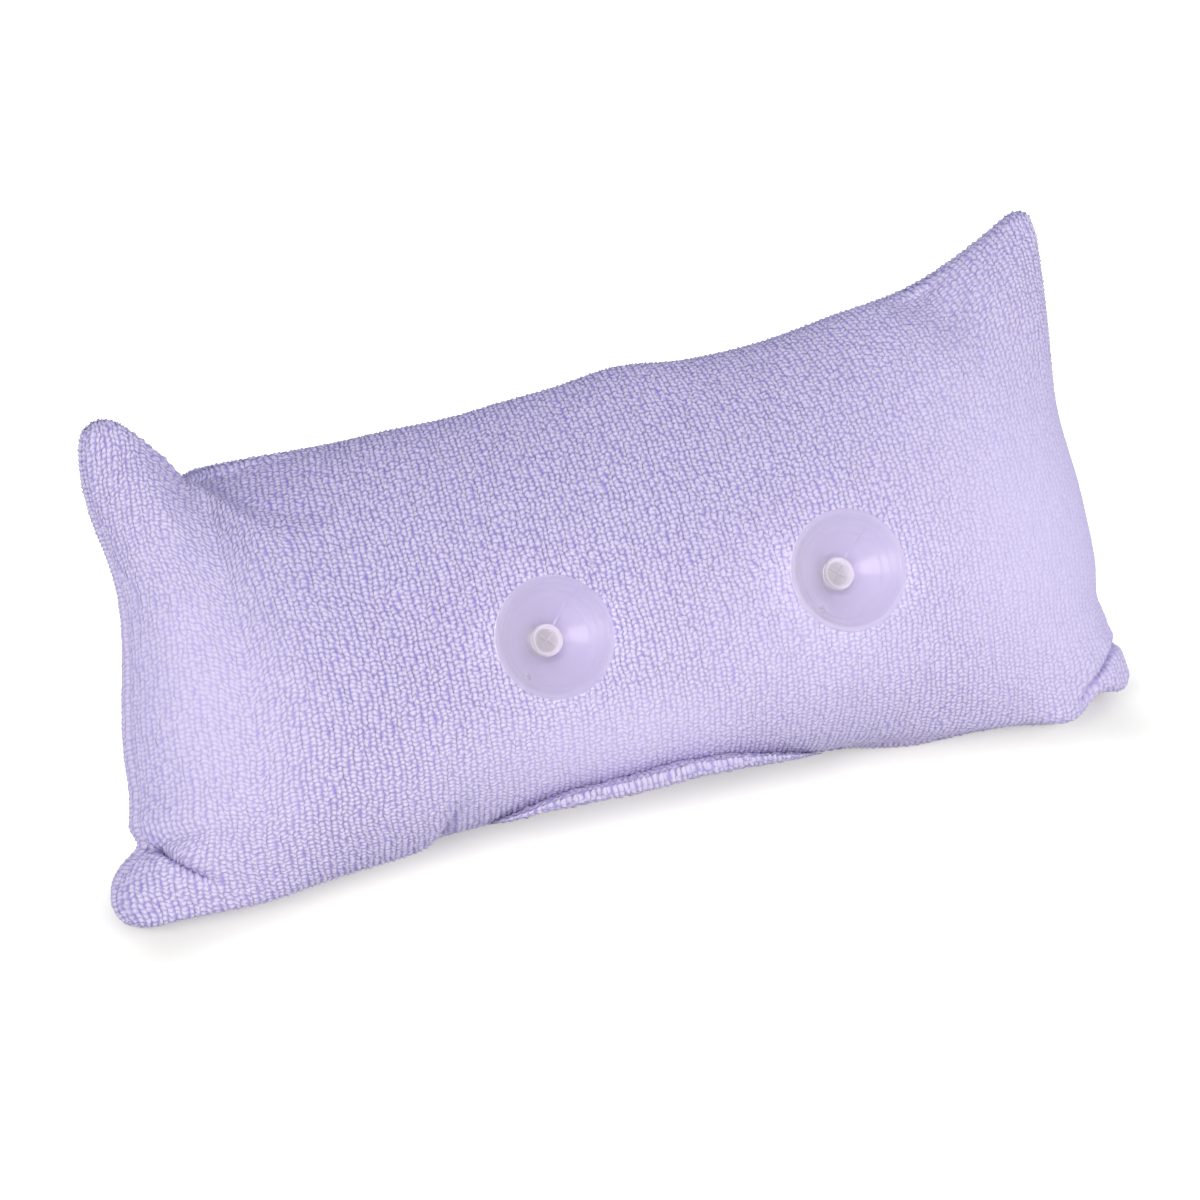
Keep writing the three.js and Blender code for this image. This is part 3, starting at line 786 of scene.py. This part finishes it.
# Closing thread
# Doubled polyester sewing thread, whipped over the shut edges of the stuffing opening in slanting stitches.
# The stitches lie at the lower seam, behind the hem.
CLOSING_ENDS = (-52, 68)
STITCH_SPACING = 3
STITCH_SLANT = 1.6
STITCH_HALF_WIDTH = 3.2
STITCH_DROP = 1.2
THREAD_RADIUS = 0.35
THREAD_SIDES = 8
STITCH_POINTS = 9
THREAD_COLOUR = "#C9BEE8"
THREAD_SHADE_COLOUR = "#A99CD0"
THREAD_ROUGHNESS = 0.6
THREAD_SHEEN = 0.2
THREAD_BUMP = 0.5
TWIST_PITCH = 0.9
STITCH_WRAP = 0.55


def patterned(material, shader, pattern, low_colour, high_colour, strength, depth):
    """Lets one pattern both colour a surface and raise it, by a depth in millimetres."""
    colours = add_node(material, "ValToRGB", Fac=pattern)
    colours.color_ramp.elements[0].color = linear(low_colour)
    colours.color_ramp.elements[1].color = linear(high_colour)
    bump = add_node(material, "Bump", Height=pattern, Strength=strength, Distance=depth * MM)
    material.node_tree.links.new(colours.outputs["Color"], shader.inputs["Base Color"])
    material.node_tree.links.new(bump.outputs["Normal"], shader.inputs["Normal"])


def twisted_thread():
    """Spun polyester sewing thread: a fine two-ply twist with a dull shine."""
    material, shader = new_material(
        "spun_polyester_thread", Roughness=THREAD_ROUGHNESS, Sheen_Weight=THREAD_SHEEN
    )
    where = add_node(material, "TexCoord").outputs["Object"]
    twist = add_node(
        material, "TexWave", {"bands_direction": "DIAGONAL"}, Vector=where,
        Scale=1 / (TWIST_PITCH * MM) / math.tau, Distortion=1,
    ).outputs["Fac"]
    patterned(
        material, shader, twist, THREAD_SHADE_COLOUR, THREAD_COLOUR, THREAD_BUMP, THREAD_RADIUS / 2
    )
    return material


def stitched(name, paths, material):
    """A piece of short lengths of thread, one along each path in millimetres."""
    angle = np.linspace(0, math.tau, THREAD_SIDES, endpoint=False)
    places, faces = [], []
    for path in paths:
        way = unit(np.gradient(path, axis=0))
        side = unit(np.cross(way[0], way[len(way) // 2]))
        top = np.cross(way, side)
        ring = np.cos(angle)[:, None] * side + np.sin(angle)[:, None] * top[:, None, :]
        count = len(path) * THREAD_SIDES
        index = np.arange(count).reshape(len(path), THREAD_SIDES) + len(places) * count
        places.append((path[:, None, :] + THREAD_RADIUS * ring).reshape(-1, 3))
        faces += round_quads(index).tolist() + [index[0].tolist(), index[-1, ::-1].tolist()]
    return new_piece(name, np.concatenate(places), faces, material)


thread = twisted_thread()
seam_edge = forms["rear"][:, 0]
half_turn = np.linspace(-STITCH_WRAP, STITCH_WRAP, STITCH_POINTS) * math.pi
whips = []
for along in np.arange(*CLOSING_ENDS, STITCH_SPACING):
    up = np.interp(along, seam_edge[:, 0], seam_edge[:, 1])
    out = np.interp(along, seam_edge[:, 0], seam_edge[:, 2])
    whip = np.stack([
        along + STITCH_SLANT * half_turn / math.pi,
        up - STITCH_DROP * np.cos(half_turn),
        out + STITCH_HALF_WIDTH * np.sin(half_turn),
    ], -1)
    whips.append(stand_up(whip))
closing = stitched("closing_stitches", whips, thread)
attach(closing, "pillow")
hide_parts("closing_thread")

# Seam thread
# Lockstitch in the same thread, run round all four sides 3 mm inside the edge before the cover was turned.
SEAM_INSET = 3
LOCKSTITCH = 3
LOCKSTITCH_GAP = 0.5
LOCKSTITCH_DIP = 0.6

inset_p = 1 - 2 * SEAM_INSET / SEAM_LENGTH
inset_q = 1 - 2 * SEAM_INSET / SEAM_HEIGHT
corners = np.array([(-inset_p, -inset_q), (inset_p, -inset_q), (inset_p, inset_q), (-inset_p, inset_q)])
stitch = np.linspace(0, 1, STITCH_POINTS)
stitches = []
for start, end in zip(corners, np.roll(corners, -1, axis=0)):
    count = round(np.linalg.norm((end - start) * (SEAM_LENGTH, SEAM_HEIGHT)) / 2 / LOCKSTITCH)
    for k in range(count):
        share = (k + stitch * (1 - LOCKSTITCH_GAP / LOCKSTITCH)) / count
        p, q = np.outer(end - start, share) + start[:, None]
        line = np.stack(seam_surface(p, q), -1)
        line[:, 2] += LOCKSTITCH_DIP * np.sin(math.pi * stitch)
        stitches.append(stand_up(line))
seam = stitched("seam_lockstitch", stitches, thread)
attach(seam, "pillow")
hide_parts("seam_thread")

# Fibre filling
# White carded polyester fibre, pulled apart and packed by hand into the cover. It fills the crown, stays
# short of the ears, and gives way round the inner end of each cup.
FILL_REACH = (0.9, 0.86)
FILL_SHARE = 0.72
FILL_COLUMNS = 72
FILL_ROWS = 36
TUFT_HEIGHT = 1.6
TUFT_SPACING = 18
POCKET_DEPTH = 8
POCKET_RADIUS = 16
FIBRE_COLOUR = "#F6F5F2"
FIBRE_SHADE_COLOUR = "#DEDCE0"
FIBRE_CLUMP = 6
FIBRE_RELIEF = 1.5
FIBRE_SHEEN = 0.4
FIBRE_DETAIL = 8
FIBRE_BUMP = 0.8


def carded_fibre():
    """Carded polyester fibre: white, cloudy and matt, with faint grey between the tufts."""
    material, shader = new_material("carded_polyester_fibre", Roughness=1, Sheen_Weight=FIBRE_SHEEN)
    where = add_node(material, "TexCoord").outputs["Object"]
    clumps = add_node(
        material, "TexNoise", Vector=where, Scale=1 / (FIBRE_CLUMP * MM), Detail=FIBRE_DETAIL, Distortion=1
    ).outputs["Fac"]
    patterned(material, shader, clumps, FIBRE_SHADE_COLOUR, FIBRE_COLOUR, FIBRE_BUMP, FIBRE_RELIEF)
    return material


fill_grids = {}
rng = np.random.default_rng(FILL_COLUMNS)
fill_p = np.sin(np.linspace(-math.pi / 2, math.pi / 2, FILL_COLUMNS + 1))[:, None]
fill_q = np.sin(np.linspace(-math.pi / 2, math.pi / 2, FILL_ROWS + 1))[None, :]
fill_p, fill_q = np.broadcast_arrays(fill_p, fill_q)
for side in OUTWARD:
    along, up, out = seam_surface(FILL_REACH[0] * fill_p, FILL_REACH[1] * fill_q)
    out = out + OUTWARD[side] * FILL_SHARE * CROWN[side] * swell(fill_p, fill_q, SETTLE[side])
    grid = np.stack([along, up, out], -1)
    offset = uneven(rng, TUFT_HEIGHT, TUFT_SPACING, grid.shape[:2])
    if side == "rear":
        for seat in seat_places.values():
            offset = offset - POCKET_DEPTH * near_seat(grid, seat, POCKET_RADIUS)
        offset = offset + sum(fold_moves(fold, along, up)[2] for fold in FOLDS)
    offset[[0, -1], :] = 0
    offset[:, [0, -1]] = 0
    fill_grids[side] = grid + normals_of(grid) * OUTWARD[side] * offset[..., None]
places, faces = sewn_together(fill_grids["rear"], fill_grids["front"])[:2]
standing = stand_up(places)
standing[:, 2] = np.maximum(standing[:, 2], CLOTH_THICKNESS)
wadding = new_piece("fibre_wadding", standing, faces, carded_fibre())
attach(wadding, "pillow")
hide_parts("fibre_filling")

# Buttonhole stitching and patches
# Each buttonhole is bound with overcast stitches on the face of the terry, and a disc of bonded interfacing
# on the inside keeps it from stretching.
RING_INNER_RADIUS = 4.9
RING_OUTER_RADIUS = 6.4
RING_HEIGHT = 1.2
RING_ROOT = 0.7
RING_STITCHES = 34
INTERFACING_COLOUR = "#EDEAF2"
INTERFACING_SHADE_COLOUR = "#D5D0DF"
INTERFACING_ROUGHNESS = 0.9
BOND_SPACING = 1.5
BOND_SCATTER = 0.3
BOND_BUMP = 0.4
BOND_DEPTH = 0.1875


def bonded_interfacing():
    """Nonwoven interfacing: matt white fibres with a fine grid of pressed bond points."""
    material, shader = new_material("nonwoven_interfacing", Roughness=INTERFACING_ROUGHNESS)
    where = add_node(material, "TexCoord").outputs["Object"]
    bonds = add_node(
        material, "TexVoronoi", Vector=where, Scale=1 / (BOND_SPACING * MM), Randomness=BOND_SCATTER
    ).outputs["Distance"]
    patterned(
        material, shader, bonds, INTERFACING_SHADE_COLOUR, INTERFACING_COLOUR, BOND_BUMP, BOND_DEPTH
    )
    return material


def cup_frame(name):
    """A cup's seat and its three directions, across the pillow, up it and out along the stem."""
    axis = np.array(cup_axes[name])
    across = unit(np.array((1, 0, 0)) - axis[0] * axis)
    return np.array(cup_seats[name]), np.stack([across, np.cross(axis, across), axis])


interfacing = bonded_interfacing()
arch = np.linspace(0, math.pi, STITCH_POINTS)
ring_middle = (RING_INNER_RADIUS + RING_OUTER_RADIUS) / 2
ring_half = (RING_OUTER_RADIUS - RING_INNER_RADIUS) / 2
arch_radius = ring_middle - ring_half * np.cos(arch)
arch_height = (RING_HEIGHT + RING_ROOT - THREAD_RADIUS) * np.sin(arch) - RING_ROOT
for name in cup_seats:
    seat, axes = cup_frame(name)
    loops = []
    for turn in np.linspace(0, math.tau, RING_STITCHES, endpoint=False):
        local = np.stack([arch_radius * math.cos(turn), arch_radius * math.sin(turn), arch_height], -1)
        loops.append(seat + local @ axes)
    ring = stitched(name + "_overcast_stitches", loops, thread)
    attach(ring, "pillow")
    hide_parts(name + "_buttonhole_stitching")
    frame["nodes"][name + "_buttonhole_patch"].material_slots[0].material = interfacing

# Cup washers
# Flat retaining rings inside the cover, injection moulded in white polypropylene. The cup's mushroom head is
# pushed through one and holds it against the patch.
WASHER_COLOUR = "#F1F0EE"
WASHER_IOR = 1.49
WASHER_ROUGHNESS = (0.35, 0.55)
MOULD_GRAIN = 0.4
GRAIN_BUMP = 0.1
GRAIN_DEPTH = 0.1


def moulded_polypropylene():
    """Injection moulded polypropylene: white and waxy, with the fine grain of the mould in its dull shine."""
    material, shader = new_material(
        "moulded_white_polypropylene", Base_Color=linear(WASHER_COLOUR), IOR=WASHER_IOR
    )
    where = add_node(material, "TexCoord").outputs["Object"]
    grain = add_node(material, "TexNoise", Vector=where, Scale=1 / (MOULD_GRAIN * MM)).outputs["Fac"]
    dull = add_node(
        material, "MapRange", _0=grain, _3=WASHER_ROUGHNESS[0], _4=WASHER_ROUGHNESS[1]
    )
    bump = add_node(material, "Bump", Height=grain, Strength=GRAIN_BUMP, Distance=GRAIN_DEPTH * MM)
    material.node_tree.links.new(dull.outputs[0], shader.inputs["Roughness"])
    material.node_tree.links.new(bump.outputs["Normal"], shader.inputs["Normal"])
    return material


polypropylene = moulded_polypropylene()
for name in cup_seats:
    frame["nodes"][name + "_cup_washer"].material_slots[0].material = polypropylene

# Suction cups
# Each is one moulding of clear plasticised PVC, slightly cloudy: a mushroom head inside the cover, a short
# neck in the buttonhole, and a flared cup with a flat lip. Its mould line, gate nub, ridges and pressed mark
# are in the mesh.
CUP_RADIUS = 20
CUP_DEPTH = 9
CUP_WALL = 1.5
CUP_STANDOFF = 3.2
FLOOR_THICKNESS = 3
FLOOR_RADIUS = 5.2
LIP_WIDTH = 1.6
LIP_THICKNESS = 0.8
STEP_RADIUS = 13
STEP_HEIGHT = 0.4
STEP_WIDTH = 0.25
STEP_RUN_IN = 6
BELL = 0.16
NECK_RADIUS = 4
HEAD_RADIUS = 6
HEAD_HEIGHT = 4.2
HEAD_EDGE = 1
CUP_SEGMENTS = 160
SHARP_FROM = math.radians(28)
WALL_RINGS = 60
FLOOR_RINGS = 14
MOULD_LINE = {"angle": math.radians(52), "height": 0.35, "width": 0.3}
GATE_NUB = {"angle": math.radians(222), "radius": 15, "height": 2, "width": 0.9}
FLOOR_MARK = {"angle": math.radians(48), "depth": 0.5, "width": 0.3, "reach": 2.8}
MOULD_RIDGES = [(4.6, 0.5, 0.4), (17.4, 0.2, 0.25), (15.4, 0.2, 0.25)]
PVC_COLOUR = "#ECE8F4"
THICK_PVC_COLOUR = "#F3EDF9"
PVC_SHINE_COLOUR = "#707070"
PVC_ROUGHNESS = 0.42
PVC_IOR = 1.53
PVC_SPECULAR = 0.15
PVC_COAT = 0.3
PVC_COAT_ROUGHNESS = 0.07
PVC_CLEARNESS = 0.94
THICK_PVC_CLEARNESS = 0.55
SHADOW_SHARE = 0.82


def cup_profile(head_bottom):
    """Radius and height of the cup's outline, from the middle of its head round to that of its floor."""
    head_top = head_bottom + HEAD_HEIGHT
    floor_height = CUP_STANDOFF + FLOOR_THICKNESS
    rim_height = floor_height + CUP_DEPTH
    inner_rim = CUP_RADIUS - LIP_WIDTH
    slope = CUP_DEPTH / (inner_rim - FLOOR_RADIUS)
    quarter = np.linspace(0, math.pi / 2, FLOOR_RINGS)
    dome_height = head_top - HEAD_EDGE - (HEAD_HEIGHT - HEAD_EDGE) * np.cos(quarter)
    dome = np.stack([HEAD_RADIUS * np.sin(quarter), dome_height], -1)
    share = np.linspace(0, 1, WALL_RINGS)
    radius = FLOOR_RADIUS + (inner_rim - FLOOR_RADIUS) * share
    bell = floor_height + CUP_DEPTH * (share - BELL * share * (1 - share))
    step = STEP_HEIGHT * (np.tanh((radius - STEP_RADIUS) / STEP_WIDTH) - 1) / 2
    inside = bell + step * np.minimum(1, STEP_RUN_IN * share)
    wall = CUP_WALL * math.hypot(1, slope) * (1 - share) + LIP_THICKNESS * math.hypot(1, slope) * share
    back = np.stack([radius, bell - wall], -1)
    lip_middle = rim_height - LIP_THICKNESS / 2
    turn = np.linspace(-math.pi / 2, math.pi / 2, FLOOR_RINGS)
    lip_radius = LIP_THICKNESS / 2
    lip_out = CUP_RADIUS - lip_radius + lip_radius * np.cos(turn)
    lip = np.stack([lip_out, lip_middle + lip_radius * np.sin(turn)], -1)
    middle = np.linspace(1, 0, FLOOR_RINGS)[1:]
    floor = np.stack([FLOOR_RADIUS * middle, np.full(len(middle), floor_height)], -1)
    neck = [(HEAD_RADIUS, head_top), (NECK_RADIUS, head_top), (NECK_RADIUS, CUP_STANDOFF)]
    return np.concatenate([dome, neck, back, lip, np.stack([radius, inside], -1)[::-1], floor])


def moulded_details(radius, angle, inner):
    """How far the mould's marks and the gate nub raise the inner face of the cup; the outer face keeps none.
    """
    across = radius * np.sin(angle - MOULD_LINE["angle"])
    ahead = radius * np.cos(angle - MOULD_LINE["angle"]) > FLOOR_RADIUS
    raised = ahead * MOULD_LINE["height"] * np.exp(-(across / MOULD_LINE["width"]) ** 2)
    raised = raised + waves(MOULD_RIDGES, radius)
    for turn in (0, math.pi / 2):
        along = radius * np.cos(angle - FLOOR_MARK["angle"] - turn)
        beside = radius * np.sin(angle - FLOOR_MARK["angle"] - turn)
        near = np.exp(-(beside / FLOOR_MARK["width"]) ** 2) * (np.abs(along) < FLOOR_MARK["reach"])
        raised = raised - FLOOR_MARK["depth"] * near
    from_nub = radius ** 2 + GATE_NUB["radius"] ** 2
    from_nub = from_nub - 2 * radius * GATE_NUB["radius"] * np.cos(angle - GATE_NUB["angle"])
    raised = raised + GATE_NUB["height"] * np.exp(-from_nub / GATE_NUB["width"] ** 2)
    return np.where(inner, raised, 0)


def clear_pvc(name, colour, transmission):
    """Plasticised PVC, moulded clear but a little cloudy: it blurs what lies behind and keeps a wet shine."""
    material, shader = new_material(
        name,
        Base_Color=linear(colour),
        Roughness=PVC_ROUGHNESS,
        IOR=PVC_IOR,
        Specular_IOR_Level=PVC_SPECULAR,
        Specular_Tint=linear(PVC_SHINE_COLOUR),
        Transmission_Weight=transmission,
        Coat_Weight=PVC_COAT,
        Coat_Roughness=PVC_COAT_ROUGHNESS,
        Coat_IOR=PVC_IOR,
    )
    shadow = add_node(material, "LightPath").outputs["Is Shadow Ray"]
    clear = add_node(material, "BsdfTransparent").outputs[0]
    through = add_node(
        material, "Math", {"operation": "MULTIPLY"}, _0=shadow, _1=SHADOW_SHARE
    ).outputs[0]
    mixed = add_node(material, "MixShader", _0=through, _1=shader.outputs[0], _2=clear)
    output = material.node_tree.nodes["Material Output"]
    material.node_tree.links.new(mixed.outputs[0], output.inputs["Surface"])
    return material


pvc = clear_pvc("clear_plasticised_pvc", PVC_COLOUR, PVC_CLEARNESS)
thick_pvc = clear_pvc("thick_plasticised_pvc", THICK_PVC_COLOUR, THICK_PVC_CLEARNESS)
for name in cup_seats:
    seat, axes = cup_frame(name)
    node = frame["nodes"][name + "_suction_cup"]
    corners = np.array([corner.co for corner in node.data.vertices]) / MM
    head_bottom = ((corners - seat) @ axes[2]).min()
    profile = cup_profile(head_bottom)
    rings = profile[1:-1]
    angle = np.linspace(0, math.tau, CUP_SEGMENTS, endpoint=False)
    radius, angle = np.meshgrid(rings[:, 0], angle, indexing="ij")
    height = np.broadcast_to(rings[:, 1:], radius.shape)
    inner = np.arange(len(rings))[:, None] > len(rings) - WALL_RINGS - FLOOR_RINGS + 1
    height = height + moulded_details(radius, angle, inner)
    local = np.stack([radius * np.cos(angle), radius * np.sin(angle), height], -1).reshape(-1, 3)
    local = np.concatenate([local, [(0, 0, profile[0, 1]), (0, 0, profile[-1, 1] - FLOOR_MARK["depth"])]])
    index = np.arange(radius.size).reshape(radius.shape)
    faces = round_quads(index)[:, ::-1].tolist()
    faces += [(radius.size, b, a) for a, b in zip(index[0], np.roll(index[0], -1))]
    faces += [(radius.size + 1, a, b) for a, b in zip(index[-1], np.roll(index[-1], -1))]
    cup = new_piece(name + "_clear_cup", seat + local @ axes, faces, pvc, thick_pvc)
    cup.data.set_sharp_from_angle(angle=SHARP_FROM)
    thick = np.ones(len(faces), np.int32)
    thick[:(len(rings) - 1) * CUP_SEGMENTS] = np.repeat(rings[:-1, 0] <= FLOOR_RADIUS, CUP_SEGMENTS)
    cup.data.polygons.foreach_set("material_index", thick)
    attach(cup, name + "_cup")
    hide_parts(name + "_suction_cup")

# Floor and studio light
# A white sweep under the pillow and two large soft boxes in front of it, low on both sides, with a weaker
# light from all round. The floor glows white to the eye; in a bowed patch under the pillow the glow drops,
# a painted shadow laid over the real soft shadow there.
FLOOR_SIZE = 6000
FLOOR_COLOUR = "#E2E2E2"
FLOOR_SEEN_COLOUR = "#DADBCE"
# Near the pillow the floor's glow drops in a bowed patch and fades back to full white beyond it: a painted
# shadow.
PAINTED_SHADOW_GLOW = 0.34
FLOOR_FAR_GLOW = 1
PAINTED_SHADOW_MIDDLE = (0, -4.5, 0)
PAINTED_SHADOW_HALF = (163, 9.5, 0)
PAINTED_SHADOW_BOW = 27
PAINTED_SHADOW_BOW_AT = 160
PAINTED_SHADOW_FADE = 50
SOFT_BOX_DISTANCE = 1800
SOFT_BOXES = [("left", -52, 29, 900, 15.2), ("right", 44, 20, 1200, 14)]
SOFT_BOX_COLOUR = "#FFFAEE"
ROOM_LIGHT = 0.55
ROOM_COLOUR = "#E0E3FF"
SEEN_WHITE = "#FFFFFF"


def seen_directly(owner):
    """One for a ray that the eye sees, straight or in gloss or glass, and zero for one that lights."""
    path = add_node(owner, "LightPath").outputs
    seen = path["Is Camera Ray"]
    for ray in ("Is Glossy Ray", "Is Transmission Ray"):
        seen = add_node(owner, "Math", {"operation": "MAXIMUM"}, _0=seen, _1=path[ray]).outputs[0]
    return seen


def white_sweep():
    """Matt white paper, pure white to the eye, with a painted shadow laid over the real one near the pillow.
    """
    material, shader = new_material(
        "white_sweep", Roughness=1, Specular_IOR_Level=0, Emission_Color=linear(SEEN_WHITE)
    )
    seen = seen_directly(material)
    # Painted shadow: the glow drops inside a bowed patch round the pillow and fades to full away from it.
    middle = [length * MM for length in PAINTED_SHADOW_MIDDLE]
    half = [length * MM for length in PAINTED_SHADOW_HALF]
    bow = PAINTED_SHADOW_BOW / PAINTED_SHADOW_BOW_AT ** 2 / MM
    where = add_node(material, "TexCoord").outputs["Object"]
    away = add_node(material, "VectorMath", {"operation": "SUBTRACT"}, _0=where, _1=middle).outputs[0]
    place = add_node(material, "SeparateXYZ", _0=away).outputs
    across = add_node(material, "Math", {"operation": "MULTIPLY"}, _0=place["X"], _1=place["X"]).outputs[0]
    bowed = add_node(
        material, "Math", {"operation": "MULTIPLY_ADD"}, _0=across, _1=bow, _2=place["Y"]
    ).outputs[0]
    away = add_node(material, "CombineXYZ", X=place["X"], Y=bowed).outputs[0]
    away = add_node(material, "VectorMath", {"operation": "ABSOLUTE"}, _0=away).outputs[0]
    away = add_node(material, "VectorMath", {"operation": "SUBTRACT"}, _0=away, _1=half).outputs[0]
    away = add_node(material, "VectorMath", {"operation": "MAXIMUM"}, _0=away).outputs[0]
    away = add_node(material, "VectorMath", {"operation": "LENGTH"}, _0=away).outputs["Value"]
    shadow_glow = add_node(
        material, "MapRange", {"interpolation_type": "SMOOTHSTEP"}, _0=away,
        _2=PAINTED_SHADOW_FADE * MM, _3=PAINTED_SHADOW_GLOW, _4=FLOOR_FAR_GLOW,
    ).outputs[0]
    glow = add_node(material, "Math", {"operation": "MULTIPLY"}, _0=seen, _1=shadow_glow).outputs[0]
    colour = add_node(
        material, "Mix", {"data_type": "RGBA"}, _0=seen, _6=linear(FLOOR_COLOUR), _7=linear(FLOOR_SEEN_COLOUR)
    ).outputs[2]
    material.node_tree.links.new(glow, shader.inputs["Emission Strength"])
    material.node_tree.links.new(colour, shader.inputs["Base Color"])
    return material


half = FLOOR_SIZE / 2
corners = np.array([(-half, -half, 0), (half, -half, 0), (half, half, 0), (-half, half, 0)])
floor = new_piece("floor", corners, [range(len(corners))], white_sweep())

for name, azimuth, elevation, size, power in SOFT_BOXES:
    lamp = bpy.data.lights.new(name + "_soft_box", "AREA")
    lamp.shape = "SQUARE"
    lamp.size = size * MM
    lamp.energy = power
    lamp.color = linear(SOFT_BOX_COLOUR)[:3]
    box = bpy.data.objects.new(name + "_soft_box", lamp)
    way = direction(math.radians(azimuth), math.radians(elevation))
    box.location = (LOOK_AT + way * SOFT_BOX_DISTANCE) * MM
    box.rotation_euler = way.to_track_quat("Z", "Y").to_euler()
    scene.collection.objects.link(box)

world = bpy.data.worlds.new("studio")
scene.world = world
world.use_nodes = True
seen = seen_directly(world)
strength = add_node(world, "MapRange", _0=seen, _3=ROOM_LIGHT, _4=1)
colour = add_node(
    world, "Mix", {"data_type": "RGBA"}, _0=seen, _6=linear(ROOM_COLOUR), _7=linear(SEEN_WHITE)
).outputs[2]
background = world.node_tree.nodes["Background"]
world.node_tree.links.new(strength.outputs[0], background.inputs["Strength"])
world.node_tree.links.new(colour, background.inputs["Color"])
